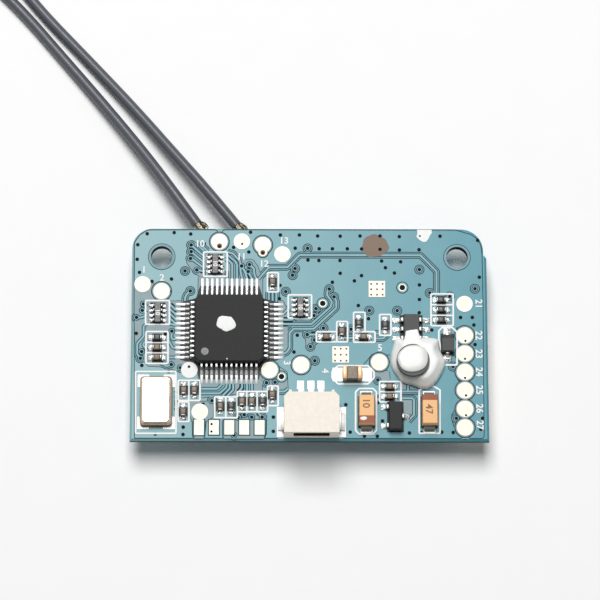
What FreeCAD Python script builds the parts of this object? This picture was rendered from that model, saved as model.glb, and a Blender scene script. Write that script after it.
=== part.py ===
import FreeCAD, Part
import math
import os
import re

import Sketcher

# A bare six-channel radio control receiver: a 36 x 22 mm board that stands on the shield can and the
# servo connector of its underside. +X runs along the board, +Y towards the antennas, +Z is up, and the
# origin lies on the surface under the middle of the board. Sizes are in millimetres.

# Driving dimensions
SIZES = {
    # Board
    "BoardLength": 36.0,
    "BoardWidth": 22.0,
    "BoardThickness": 1.0,
    "LeftCornerRadius": 2.05,
    "RightCornerRadius": 2.25,
    "RightInset": 0.32,
    "InsetLength": 2.75,
    "ScoreDepth": 0.22,
    "HoleInset": 3.0,
    "HoleFromTop": 3.0,
    "HoleDiameter": 2.2,
    "PadThickness": 0.05,
    # Bare pads of the top side
    "RoundPadRadius": 0.825,
    "StripPadWidth": 0.95,
    "StripPadLength": 1.45,
    "StripPadY": -9.64,
    "ThermalPadSide": 1.66,
    # Microcontroller, a 48-lead square package
    "McuX": -8.08,
    "McuY": 0.27,
    "McuBody": 7.0,
    "McuCorner": 0.45,
    "McuStandOff": 0.1,
    "McuHeight": 1.5,
    "McuLandLow": 0.72,
    "McuDraft": 9.0,
    "McuLeadCount": 12,
    "McuLeadPitch": 0.5,
    "McuLeadWidth": 0.22,
    "McuLeadThickness": 0.15,
    "McuToe": 4.5,
    "McuFoot": 0.55,
    "McuShoulder": 0.3,
    "McuPadWidth": 0.3,
    "McuPadInner": 0.15,
    "McuPadOuter": 0.97,
    # Crystal can
    "CrystalX": -15.37,
    "CrystalY": -7.05,
    "CrystalWidth": 3.2,
    "CrystalLength": 5.0,
    "CrystalBaseHeight": 0.62,
    "CrystalCornerRadius": 0.35,
    "CrystalLidMargin": 0.14,
    "CrystalLidRim": 0.1,
    "CrystalLidInset": 0.12,
    "CrystalLidHeight": 0.4,
    "CrystalPadWidth": 1.2,
    "CrystalPadLength": 1.3,
    "CrystalPadOverhang": 0.3,
    # Four-way resistor arrays
    "ArrayLength": 2.0,
    "ArrayWidth": 1.0,
    "ArrayHeight": 0.42,
    "ArrayPitch": 0.5,
    "ArrayTerminalWidth": 0.3,
    "ArrayTerminalDepth": 0.2,
    "ArrayPadReach": 0.42,
    # Small chips
    "ChipLength": 1.0,
    "ChipWidth": 0.5,
    "CapacitorHeight": 0.48,
    "ResistorHeight": 0.36,
    "ChipTerminalLength": 0.22,
    "ChipPadReach": 0.38,
    "ChipPadWidth": 0.56,
    # Bulk ceramic capacitor
    "BulkX": 4.3,
    "BulkY": -4.22,
    "BulkLength": 1.95,
    "BulkWidth": 1.3,
    "BulkHeight": 1.15,
    "BulkTerminalLength": 0.45,
    "BulkPadReach": 1.02,
    "BulkPadWidth": 1.42,
    # Moulded tantalum capacitors
    "TantalumY": -8.05,
    "TantalumFirstX": 5.7,
    "TantalumSecondX": 12.0,
    "TantalumLength": 3.0,
    "TantalumWidth": 1.6,
    "TantalumHeight": 1.65,
    "TantalumLandLow": 0.8,
    "TantalumDraft": 5.0,
    "TantalumTerminalWidth": 1.2,
    "TantalumTerminalThickness": 0.1,
    "TantalumFoot": 0.8,
    "TantalumPadReach": 0.55,
    # Voltage regulator, three leads
    "RegulatorX": 8.6,
    "RegulatorY": -8.55,
    "RegulatorWidth": 1.35,
    "RegulatorLength": 2.9,
    "RegulatorHeight": 1.1,
    "RegulatorStandOff": 0.06,
    "RegulatorLandLow": 0.45,
    "RegulatorDraft": 7.0,
    "RegulatorLeadPitch": 1.9,
    "RegulatorLeadWidth": 0.42,
    "RegulatorToe": 1.2,
    "RegulatorFoot": 0.3,
    "RegulatorShoulder": 0.1,
    # Voltage converter, six leads
    "ConverterX": 10.27,
    "ConverterY": 0.41,
    "ConverterWidth": 1.6,
    "ConverterLength": 2.9,
    "ConverterLeadPitch": 0.95,
    "ConverterLeadWidth": 0.4,
    "ConverterToe": 1.4,
    "ConverterPadReach": 0.5,
    "SmallLeadThickness": 0.12,
    "SmallPadWidth": 0.6,
    # Rectifier diode, lying along Y
    "DiodeX": 13.91,
    "DiodeY": -1.12,
    "DiodeWidth": 1.25,
    "DiodeLength": 1.7,
    "DiodeHeight": 0.95,
    "DiodeStandOff": 0.05,
    "DiodeLandLow": 0.4,
    "DiodeLeadWidth": 0.35,
    "DiodeToe": 1.3,
    "DiodeFoot": 0.28,
    "DiodeShoulder": 0.06,
    "DiodePadReach": 0.42,
    "DiodePadWidth": 0.8,
    # Drum-core inductor and the silicone over it
    "InductorX": 10.33,
    "InductorY": -3.15,
    "InductorRadius": 1.65,
    "InductorWaistRadius": 0.85,
    "InductorFlange": 0.5,
    "InductorHeight": 2.1,
    "WindingRadius": 1.42,
    "InductorTerminalWidth": 0.9,
    "InductorTerminalLength": 2.0,
    "InductorTerminalThickness": 0.1,
    "SiliconeHeight": 1.6,
    "SiliconeNeckHeight": 1.36,
    "SiliconeCapRadius": 1.5,
    "SiliconeCapThickness": 0.14,
    "SiliconeCapBevel": 0.08,
    # Side-entry connectors
    "ContactPitch": 1.0,
    "SignalContacts": 3,
    "ServoContacts": 8,
    "HousingEnd": 1.75,
    "HousingDepth": 4.1,
    "HousingHeight": 2.95,
    "HousingBackChamfer": 0.42,
    "HousingBack": 0.9,
    "CavityEnd": 0.95,
    "CavityFloor": 0.72,
    "CavityHeight": 1.75,
    "NubWidth": 0.3,
    "NubReach": 0.2,
    "NubInset": 0.47,
    "ContactWidth": 0.3,
    "ContactThickness": 0.2,
    "ContactFoot": 0.5,
    "ContactBladeLow": 1.2,
    "ContactRiser": 0.6,
    "ContactSetBack": 0.9,
    "ContactPlay": 0.03,
    "ContactPadWidth": 0.68,
    "ContactPadReach": 0.7,
    "TabFoot": 0.62,
    "TabHeight": 1.3,
    "TabLength": 1.8,
    "TabThickness": 0.2,
    "TabFromFront": 1.58,
    "TabPadWidth": 0.72,
    "TabPadLength": 3.1,
    "SignalX": 0.19,
    "SignalY": -8.62,
    "ServoInset": 2.1,
    "ServoY": -3.9,
    # Shield can and the radio parts in it
    "ShieldLeft": -3.6,
    "ShieldGap": 2.25,
    "ShieldY": 1.6,
    "ShieldWidth": 13.2,
    "ShieldWall": 0.2,
    "ShieldCornerRadius": 0.7,
    "ShieldEdgeBevel": 0.15,
    "ShieldNotchWidth": 1.2,
    "ShieldNotchHeight": 0.4,
    "ShieldNotchSpacing": 7.0,
    "TransceiverSide": 4.0,
    "FrontEndSide": 3.0,
    "RadioChipHeight": 0.85,
    "RadioCrystalWidth": 2.5,
    "RadioCrystalLength": 3.2,
    "RadioCrystalHeight": 0.7,
    # Antenna coaxes
    "CoaxDiameter": 1.13,
    "BraidDiameter": 0.9,
    "BraidLength": 3.9,
    "CoreDiameter": 0.68,
    "CoreLength": 0.7,
    "WireDiameter": 0.24,
    "WireLength": 0.9,
    "CoilRadius": 6.6,
    "CoilInnerRadius": 4.86,
    "CoilPlay": 0.04,
    "CoilLeadIn": 4.2,
    "BraidJointWidth": 1.3,
    "BraidJointAt": 2.95,
    "WireJointAt": 0.54,
    "WireJointWidth": 1.0,
    "SolderTopShare": 0.55,
    "SolderHeight": 0.85,
}

# What follows from the driving dimensions
DERIVED = {
    "BoardBottom": "HousingHeight",
    "BoardTop": "BoardBottom + BoardThickness",
    "PadTop": "BoardTop + PadThickness",
    "PadLow": "BoardBottom - PadThickness",
    "CoaxAxis": "PadLow - BraidDiameter / 2",
    "HoleSpacing": "BoardLength - 2 * HoleInset",
    "CavityDepth": "HousingDepth - HousingBack",
    "ContactBladeLength": "HousingDepth - ContactRiser - ContactSetBack",
    "ShieldRight": "BoardLength / 2 - ServoInset - HousingDepth / 2 - ShieldGap",
    "ShieldLength": "ShieldRight - ShieldLeft",
    "ShieldX": "(ShieldRight + ShieldLeft) / 2",
}

# Radio parts under the shield can, as shares of its length and width from its middle
RADIO_SHARES = {
    "Transceiver": (-0.0566, -0.2841),
    "FrontEnd": (0.1868, 0.2326),
    "RadioCrystal": (-0.342, -0.212),
}
RADIO_CHIP_SHARES = [
    ("capacitor", "x", -0.33, 0.3), ("capacitor", "y", -0.24, 0.3), ("capacitor", "x", -0.13, 0.36),
    ("capacitor", "y", -0.03, 0.25), ("capacitor", "x", 0.39, 0.33), ("capacitor", "y", 0.37, 0.15),
    ("capacitor", "x", 0.19, 0.01), ("resistor", "x", -0.05, 0.0), ("capacitor", "y", 0.2, -0.23),
    ("capacitor", "y", 0.3, -0.23),
]

# How round pieces that repeat are built
PAD_SIDES = 16
CORD_SIDES = 16
WIRE_SIDES = 8
COIL_SIDES = 36

# Places on the board: centres seen from above, with the direction a piece lies in
ARRAY_PLACES = [(-9.55, 7.2), (-15.32, 2.1), (-0.92, 2.7)]
CAPACITORS_ALONG_X = [
    (-15.35, -1.5), (-15.35, -2.53), (1.71, -0.35), (5.46, -0.35), (8.05, -5.5), (8.05, -6.5),
]
CAPACITORS_ALONG_Y = [(-3.73, 5.35), (-12.62, -5.85), (-11.56, -5.85), (-12.66, -8.06), (-8.94, -7.5),
                      (-6.78, -7.0), (-5.78, -7.0), (-3.74, -6.33), (3.28, 0.23)]
RESISTORS_ALONG_X = [(-15.35, -0.47), (13.35, 3.5), (13.35, 2.47), (13.35, 1.42)]
RESISTORS_ALONG_Y = [(-7.84, -7.5), (-4.7, -7.0), (5.01, 1.06), (7.67, 0.88)]
ROUND_PAD_PLACES = [
    (-9.16, 9.59), (-6.87, 9.62), (-4.74, 9.26), (-2.74, 8.28), (-16.9, 5.11), (-14.97, 4.4),
    (-12.08, -3.77), (-4.02, -3.75), (-0.85, -3.23), (7.03, -2.93), (-10.99, -8.05),
    (15.7, 3.13), (15.68, -0.14), (15.67, -2.02), (15.65, -3.92), (15.63, -5.81), (15.6, -7.71), (15.57, -9.61),
]
STRIP_PAD_PLACES = [-11.06, -9.56, -8.03, -6.54, -4.99]

# Foot of the silicone around the inductor and of the tongue that it sends over the converter, and how
# far each is drawn in as it rises, as shares of its reach and height
SILICONE_FOOT = [(9.67, -0.34), (11.05, -0.29), (11.83, -0.37), (12.49, -0.37), (13.1, -0.57), (13.2, -1.75),
                 (13.6, -2.5), (13.81, -2.9), (13.71, -3.4), (13.39, -4.15), (12.91, -4.98), (12.43, -5.46),
                 (11.9, -5.8), (11.36, -5.83), (10.89, -5.65), (10.29, -5.39), (9.62, -5.26), (9.14, -5.03),
                 (8.79, -4.47), (8.3, -3.85), (8.07, -3.06), (8.14, -2.03), (8.39, -1.07), (8.48, -0.5)]
SILICONE_RISE = [(1.0, 0.0), (0.93, 0.42), (0.64, 1.0)]
TONGUE_FOOT = [
    (9.57, 0.11), (10.19, 0.24), (10.96, 0.32), (11.15, -0.5), (11.58, -1.9), (9.17, -1.9), (9.45, -0.71),
]
TONGUE_RISE = [(1.0, 0.0), (0.94, 1.0)]

# Routes of the two coaxes, from the board to their put-away coils
FIRST_ROUTE = [(-11.8, 12.3, 2.45), (-14.0, 15.35, 2.45), (-16.8, 19.3, 1.8), (-20.95, 24.6, 1.05),
               (-25.8, 30.4, 0.62), (-30.2, 35.6, 0.6), (-34.3, 39.6, 0.6)]
SECOND_ROUTE = [(-7.96, 12.3, 2.45), (-10.4, 15.35, 2.45), (-13.8, 19.4, 1.8), (-18.3, 24.8, 1.05),
                (-23.3, 30.3, 0.62), (-28.2, 35.5, 0.6), (-31.6, 39.9, 0.6)]
FIRST_COIL_SIDE = 1
SECOND_COIL_SIDE = -1

V = FreeCAD.Vector
doc = FreeCAD.newDocument("Receiver")
sheet = doc.addObject("Spreadsheet::Sheet", "Sizes")
parts = []


# Sheet and expressions

def cell(row, alias, content):
    sheet.set(f"A{row}", alias)
    sheet.set(f"B{row}", content)
    sheet.setAlias(f"B{row}", alias)


def place_cells(row, name, places):
    """Put the x and y of a list of places into the sheet and return the next free row."""
    for index, (x, y) in enumerate(places, start=1):
        cell(row, f"{name}{index}X", str(x))
        cell(row + 1, f"{name}{index}Y", str(y))
        row += 2
    return row


def fill_sheet():
    row = 1
    for alias, number in SIZES.items():
        cell(row, alias, str(number))
        row += 1
    for alias, formula in DERIVED.items():
        cell(row, alias, "=" + formula)
        row += 1
    for name, (share_x, share_y) in RADIO_SHARES.items():
        cell(row, f"{name}X", f"=ShieldX + {share_x} * ShieldLength")
        cell(row + 1, f"{name}Y", f"=ShieldY + {share_y} * ShieldWidth")
        row += 2
    row = place_cells(row, "Array", ARRAY_PLACES)
    row = place_cells(row, "CapacitorX", CAPACITORS_ALONG_X)
    row = place_cells(row, "CapacitorY", CAPACITORS_ALONG_Y)
    row = place_cells(row, "ResistorX", RESISTORS_ALONG_X)
    row = place_cells(row, "ResistorY", RESISTORS_ALONG_Y)
    row = place_cells(row, "RoundPad", ROUND_PAD_PLACES)
    place_cells(row, "StripPad", [(x, SIZES["StripPadY"]) for x in STRIP_PAD_PLACES])
    doc.recompute()


def bound(formula):
    """Write a formula of plain aliases as an expression on the sheet."""
    return re.sub(r"\b([A-Z]\w*)", r"Sizes.\1", formula)


def value(formula):
    """Work out a formula of aliases as a number."""
    result = sheet.evalExpression(bound(formula))
    return float(getattr(result, "Value", result))


def bind(item, **formulas):
    for prop, formula in formulas.items():
        item.setExpression(prop, bound(formula))


def seat(item, x, y, z):
    """Bind the place of a piece."""
    for axis, formula in zip("xyz", (x, y, z)):
        item.setExpression(f"Placement.Base.{axis}", bound(formula))


def keep(item, label):
    """Name a finished sub-part."""
    item.Label = label
    parts.append(item)
    return item


# Plain solids

def block(name, centre, size, low):
    """A box given by its centre seen from above, its three sizes and its low face."""
    solid = doc.addObject("Part::Box", name)
    bind(solid, Length=size[0], Width=size[1], Height=size[2])
    seat(solid, f"{centre[0]} - ({size[0]}) / 2", f"{centre[1]} - ({size[1]}) / 2", low)
    return solid


def disc(name, centre, radius, height, low):
    """An upright cylinder."""
    solid = doc.addObject("Part::Cylinder", name)
    bind(solid, Radius=radius, Height=height)
    seat(solid, centre[0], centre[1], low)
    return solid


def round_plate(name, centre):
    """A thin round pad, built as a many-sided prism."""
    solid = doc.addObject("Part::Prism", name)
    solid.Polygon = PAD_SIDES
    bind(solid, Circumradius="RoundPadRadius", Height="PadThickness")
    seat(solid, centre[0], centre[1], "BoardTop")
    return solid


def group(label, solids):
    """Several separate solids of one kind as one sub-part."""
    bundle = doc.addObject("Part::Compound", label)
    bundle.Links = solids
    return keep(bundle, label)


# Bodies, sketches and features

def origin_part(body, role):
    return next(item for item in body.Origin.OriginFeatures if item.Role == role)


def new_body(label):
    body = doc.addObject("PartDesign::Body", label)
    body.AllowCompound = True
    return keep(body, label)


def pin_point(sketch, index, point, along, formula):
    """Bind one coordinate of a line's first point or a circle's centre."""
    if formula == "0":
        axis = -2 if along == "X" else -1
        sketch.addConstraint(Sketcher.Constraint("PointOnObject", index, point, axis))
        return
    kind = "Distance" + along
    number = sketch.addConstraint(Sketcher.Constraint(kind, -1, 1, index, point, value(formula)))
    sketch.renameConstraint(number, f"point{index}{along}")
    sketch.setExpression(f"Constraints.point{index}{along}", bound(formula))


def new_sketch(body, name, plane, offset="0"):
    sketch = body.newObject("Sketcher::SketchObject", name)
    sketch.AttachmentSupport = [(origin_part(body, plane), "")]
    sketch.MapMode = "FlatFace"
    if offset != "0":
        sketch.setExpression("AttachmentOffset.Base.z", bound(offset))
    return sketch


def add_outline(sketch, corners):
    """Add a closed outline of straight lines through corners given as formulas."""
    first = sketch.GeometryCount
    numbers = [V(value(x), value(y), 0) for x, y in corners]
    for index, start in enumerate(numbers):
        sketch.addGeometry(Part.LineSegment(start, numbers[(index + 1) % len(numbers)]))
    for index in range(len(corners)):
        following = first + (index + 1) % len(corners)
        sketch.addConstraint(Sketcher.Constraint("Coincident", first + index, 2, following, 1))
    for index, (x, y) in enumerate(corners):
        pin_point(sketch, first + index, 1, "X", x)
        pin_point(sketch, first + index, 1, "Y", y)


def add_circle(sketch, x, y, diameter):
    centre = V(value(x), value(y), 0)
    index = sketch.addGeometry(Part.Circle(centre, V(0, 0, 1), value(diameter) / 2))
    number = sketch.addConstraint(Sketcher.Constraint("Diameter", index, value(diameter)))
    sketch.renameConstraint(number, f"diameter{index}")
    sketch.setExpression(f"Constraints.diameter{index}", bound(diameter))
    pin_point(sketch, index, 3, "X", x)
    pin_point(sketch, index, 3, "Y", y)


def rectangle(half_x, low_y, high_y):
    return [(f"-({half_x})", low_y), (half_x, low_y), (half_x, high_y), (f"-({half_x})", high_y)]


def square_with_cut_corners(half_x, half_y, cut):
    corners = []
    for sign_x, sign_y, first in ((1, -1, "y"), (1, 1, "x"), (-1, 1, "y"), (-1, -1, "x")):
        long_x = f"{sign_x} * ({half_x})"
        long_y = f"{sign_y} * ({half_y})"
        short_x = f"{sign_x} * ({half_x} - {cut})"
        short_y = f"{sign_y} * ({half_y} - {cut})"
        pair = [(long_x, short_y), (short_x, long_y)]
        if first == "y":
            pair.reverse()
        corners += pair
    return corners


def pad(body, name, sketch, length, **settings):
    feature = body.newObject("PartDesign::Pad", name)
    feature.Profile = sketch
    bind(feature, Length=length)
    for prop, setting in settings.items():
        setattr(feature, prop, setting)
    return feature


def pocket(body, name, sketch, depth, reverse=False):
    """A pocket of a given depth, or right through where depth is None."""
    before = body.Tip.Shape.Volume if body.Tip.Shape.isValid() else 0
    feature = body.newObject("PartDesign::Pocket", name)
    feature.Profile = sketch
    feature.Reversed = reverse
    if depth is None:
        feature.Type = "ThroughAll"
    else:
        bind(feature, Length=depth)
    doc.recompute()
    if feature.Shape.Volume > before - 1e-6:
        raise RuntimeError(f"{name} cuts nothing")
    return feature


def pattern_along(body, name, axis, spacing, count):
    """A row of copies along one of the body's axes."""
    row = body.newObject("PartDesign::LinearPattern", name)
    row.Direction = (origin_part(body, axis), [""])
    row.Mode = "Spacing"
    bind(row, Offset=spacing, Occurrences=count)
    return row


def pattern_around(body, name, count):
    """Copies turned evenly about the body's upright axis."""
    turn = body.newObject("PartDesign::PolarPattern", name)
    turn.Axis = (origin_part(body, "Z_Axis"), [""])
    turn.Angle = 360
    turn.Occurrences = count
    return turn


def repeat(body, name, feature, steps):
    """Apply several patterns to one feature, and make the result the body's tip."""
    multi = body.newObject("PartDesign::MultiTransform", name)
    multi.Originals = [feature]
    multi.Transformations = steps
    body.Tip = multi
    return multi


def edge_names(feature, wanted):
    """Names of the edges whose middle point passes a test."""
    names = []
    for number, edge in enumerate(feature.Shape.Edges, start=1):
        middle = edge.valueAt((edge.FirstParameter + edge.LastParameter) / 2)
        if wanted(middle, edge):
            names.append(f"Edge{number}")
    return names


def soften(body, kind, name, feature, wanted, size):
    """A fillet or a chamfer on the edges that pass a test."""
    doc.recompute()
    softened = body.newObject(f"PartDesign::{kind}", name)
    softened.Base = (feature, edge_names(feature, wanted))
    bind(softened, **{"Radius" if kind == "Fillet" else "Size": size})
    doc.recompute()
    return softened


def is_upright(edge):
    box = edge.BoundBox
    return box.ZLength > max(box.XLength, box.YLength)


# The board

def make_board():
    body = new_body("circuit_board")
    half_x = "BoardLength / 2"
    half_y = "BoardWidth / 2"
    outline = new_sketch(body, "board_outline", "XY_Plane")
    add_outline(outline, [
        (f"-{half_x}", f"-{half_y}"), (half_x, f"-{half_y}"),
        (half_x, f"{half_y} - InsetLength - RightInset"), (f"{half_x} - RightInset", f"{half_y} - InsetLength"),
        (f"{half_x} - RightInset", half_y), (f"-{half_x}", half_y)])
    sheet_body = pad(body, "board_sheet", outline, "BoardThickness")
    left = -value(half_x)
    right = value(f"{half_x} - RightInset")
    top = value(half_y)
    near = value("RightInset") / 4

    def is_left_corner(point, edge):
        return is_upright(edge) and point.x < left + near and point.y > top - near

    def is_right_corner(point, edge):
        return is_upright(edge) and abs(point.x - right) < near and point.y > top - near

    round_left = soften(body, "Fillet", "left_corner", sheet_body, is_left_corner, "LeftCornerRadius")
    round_right = soften(body, "Fillet", "right_corner", round_left, is_right_corner, "RightCornerRadius")

    def is_scored(point, edge):
        if is_upright(edge):
            return False
        on_left = point.x < left + value("LeftCornerRadius") / 2
        on_right = point.x > value(half_x) - near / 2
        on_front = point.y < -top + near
        return on_left or on_right or on_front

    scored = soften(body, "Chamfer", "scored_edges", round_right, is_scored, "ScoreDepth")
    holes = new_sketch(body, "hole_circles", "XY_Plane")
    for sign in "-+":
        add_circle(holes, f"{sign}HoleSpacing / 2", f"{half_y} - HoleFromTop", "HoleDiameter")
    body.Tip = scored
    body.Tip = pocket(body, "holes", holes, None, reverse=True)
    seat(body, "0", "0", "BoardBottom")


# Pads

def pad_plate(name, centre, size, low="BoardTop"):
    """A thin gold or tinned pad."""
    return block(name, centre, (size[0], size[1], "PadThickness"), low)


def make_test_pads():
    plates = []
    for index in range(1, len(ROUND_PAD_PLACES) + 1):
        centre = (f"RoundPad{index}X", f"RoundPad{index}Y")
        plates.append(round_plate(f"round_pad_{index}", centre))
    for index in range(1, len(STRIP_PAD_PLACES) + 1):
        centre = (f"StripPad{index}X", f"StripPad{index}Y")
        length = "StripPadLength"
        if index == 1:
            # the first strip ends in the round pad above it
            length = "(RoundPad11Y - StripPad1Y - RoundPadRadius) * 2"
        plates.append(pad_plate(f"strip_pad_{index}", centre, ("StripPadWidth", length)))
    for chip_name in ("Transceiver", "FrontEnd"):
        centre = (f"{chip_name}X", f"{chip_name}Y")
        plates.append(pad_plate(f"{chip_name}_thermal_pad", centre, ("ThermalPadSide", "ThermalPadSide")))
    group("test_pads", plates)


# Moulded packages and their leads

def moulded_case(label, half_x, half_y, cut, stand_off, land_low, land, height, draft):
    """A case with an upright land at lead height and drafted faces above and below it."""
    body = new_body(label)
    corners = rectangle(half_x, f"-({half_y})", half_y)
    if cut is not None:
        corners = square_with_cut_corners(half_x, half_y, cut)
    outlines = {}
    for name, offset in (("low", land_low), ("high", f"{land_low} + {land}")):
        outlines[name] = new_sketch(body, f"{label}_{name}", "XY_Plane", offset)
        add_outline(outlines[name], corners)
    pad(body, f"{label}_land", outlines["low"], land)
    upper = pad(body, f"{label}_upper", outlines["high"], f"{height} - ({land_low}) - ({land})")
    upper.setExpression("TaperAngle", bound(f"-{draft}"))
    lower = pad(body, f"{label}_lower", outlines["low"], f"{land_low} - {stand_off}", Reversed=True)
    lower.setExpression("TaperAngle", bound(f"-{draft}"))
    body.Tip = lower
    return body


def lead_corners(side, inner, shoulder, toe, foot, rise, thick):
    """Side view of a gull-wing lead, from the case outwards."""
    heel = f"{toe} - {foot}"
    lean = f"{thick} * 0.8"
    points = [
        (inner, rise), (f"{inner} + {shoulder}", rise), (heel, "0"), (toe, "0"), (toe, thick),
        (f"{heel} + {lean}", thick), (f"{inner} + {shoulder} + {lean}", f"{rise} + {thick}"),
        (inner, f"{rise} + {thick}")]
    return [(f"{side} * ({u})", z) for u, z in points]


def lead(body, name, side, start, width, profile):
    """One gull-wing lead whose middle lies at start along Y."""
    sketch = new_sketch(body, f"{name}_profile", "XZ_Plane", f"-({start})")
    add_outline(sketch, lead_corners(side, *profile))
    return pad(body, name, sketch, width, SideType="Symmetric")


def make_microcontroller():
    case = moulded_case("microcontroller_body", "McuBody / 2", "McuBody / 2", "McuCorner", "McuStandOff",
                        "McuLandLow", "McuLeadThickness", "McuHeight", "McuDraft")
    seat(case, "McuX", "McuY", "PadTop")
    first = "-(McuLeadCount - 1) * McuLeadPitch / 2"
    leads = new_body("microcontroller_leads")
    profile = ("McuBody / 2", "McuShoulder", "McuToe", "McuFoot", "McuLandLow", "McuLeadThickness")
    one = lead(leads, "mcu_lead", 1, first, "McuLeadWidth", profile)
    row = pattern_along(leads, "mcu_lead_row", "Y_Axis", "McuLeadPitch", "McuLeadCount")
    repeat(leads, "mcu_leads", one, [row, pattern_around(leads, "mcu_lead_sides", 4)])
    seat(leads, "McuX", "McuY", "PadTop")
    pads = new_body("microcontroller_pads")
    sketch = new_sketch(pads, "mcu_pad_outline", "XY_Plane")
    low = f"{first} - McuPadWidth / 2"
    high = f"{first} + McuPadWidth / 2"
    inner = "McuToe - McuFoot - McuPadInner"
    outer = "McuToe + McuPadOuter"
    add_outline(sketch, [(inner, low), (outer, low), (outer, high), (inner, high)])
    one = pad(pads, "mcu_pad", sketch, "PadThickness")
    row = pattern_along(pads, "mcu_pad_row", "Y_Axis", "McuLeadPitch", "McuLeadCount")
    repeat(pads, "mcu_pads", one, [row, pattern_around(pads, "mcu_pad_sides", 4)])
    seat(pads, "McuX", "McuY", "BoardTop")


def make_regulator(pads):
    case = moulded_case("regulator_body", "RegulatorWidth / 2", "RegulatorLength / 2", None,
                        "RegulatorStandOff", "RegulatorLandLow", "SmallLeadThickness", "RegulatorHeight",
                        "RegulatorDraft")
    seat(case, "RegulatorX", "RegulatorY", "PadTop")
    leads = new_body("regulator_leads")
    profile = ("RegulatorWidth / 2", "RegulatorShoulder", "RegulatorToe", "RegulatorFoot",
               "RegulatorLandLow", "SmallLeadThickness")
    pair = lead(leads, "regulator_left_lead", -1, "-RegulatorLeadPitch / 2", "RegulatorLeadWidth", profile)
    repeat(leads, "regulator_left_leads", pair,
           [pattern_along(leads, "regulator_left_row", "Y_Axis", "RegulatorLeadPitch", "2")])
    leads.Tip = lead(leads, "regulator_right_lead", 1, "0", "RegulatorLeadWidth", profile)
    seat(leads, "RegulatorX", "RegulatorY", "PadTop")
    reach = "RegulatorToe - RegulatorFoot / 2"
    for number, (side, shift) in enumerate((("-", "-0.5"), ("-", "0.5"), ("+", "0")), start=1):
        centre = (f"RegulatorX {side} ({reach})", f"RegulatorY + {shift} * RegulatorLeadPitch")
        pads.append(pad_plate(f"regulator_pad_{number}", centre, ("SmallPadWidth * 1.3", "SmallPadWidth")))


def make_converter(pads):
    case = moulded_case("converter_body", "ConverterWidth / 2", "ConverterLength / 2", None,
                        "RegulatorStandOff", "RegulatorLandLow", "SmallLeadThickness", "RegulatorHeight",
                        "RegulatorDraft")
    seat(case, "ConverterX", "ConverterY", "PadTop")
    leads = new_body("converter_leads")
    profile = ("ConverterWidth / 2", "RegulatorShoulder", "ConverterToe", "RegulatorFoot",
               "RegulatorLandLow", "SmallLeadThickness")
    one = lead(leads, "converter_lead", 1, "-ConverterLeadPitch", "ConverterLeadWidth", profile)
    row = pattern_along(leads, "converter_lead_row", "Y_Axis", "ConverterLeadPitch", "3")
    repeat(leads, "converter_lead_rows", one, [row, pattern_around(leads, "converter_lead_sides", 2)])
    seat(leads, "ConverterX", "ConverterY", "PadTop")
    length = "RegulatorFoot + ConverterPadReach"
    for side in "-+":
        for step in (-1, 0, 1):
            name = f"converter_pad_{'left' if side == '-' else 'right'}_{step + 2}"
            centre = (f"ConverterX {side} (ConverterToe - RegulatorFoot + ({length}) / 2)",
                      f"ConverterY + {step} * ConverterLeadPitch")
            pads.append(pad_plate(name, centre, (length, "SmallPadWidth")))


def make_diode(pads):
    case = moulded_case("diode_body", "DiodeWidth / 2", "DiodeLength / 2", None, "DiodeStandOff",
                        "DiodeLandLow", "SmallLeadThickness", "DiodeHeight", "RegulatorDraft")
    seat(case, "DiodeX", "DiodeY", "PadTop")
    leads = new_body("diode_leads")
    profile = ("DiodeLength / 2", "DiodeShoulder", "DiodeToe", "DiodeFoot", "DiodeLandLow",
               "SmallLeadThickness")
    one = lead(leads, "diode_lead", 1, "0", "DiodeLeadWidth", profile)
    repeat(leads, "diode_lead_pair", one, [pattern_around(leads, "diode_lead_ends", 2)])
    leads.Placement = FreeCAD.Placement(V(0, 0, 0), FreeCAD.Rotation(V(0, 0, 1), 90))
    seat(leads, "DiodeX", "DiodeY", "PadTop")
    length = "DiodeFoot + DiodePadReach"
    for side in "-+":
        centre = ("DiodeX", f"DiodeY {side} (DiodeToe - DiodeFoot + ({length}) / 2)")
        name = f"diode_pad_{'front' if side == '-' else 'back'}"
        pads.append(pad_plate(name, centre, ("DiodePadWidth", length)))


# Crystal

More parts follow.
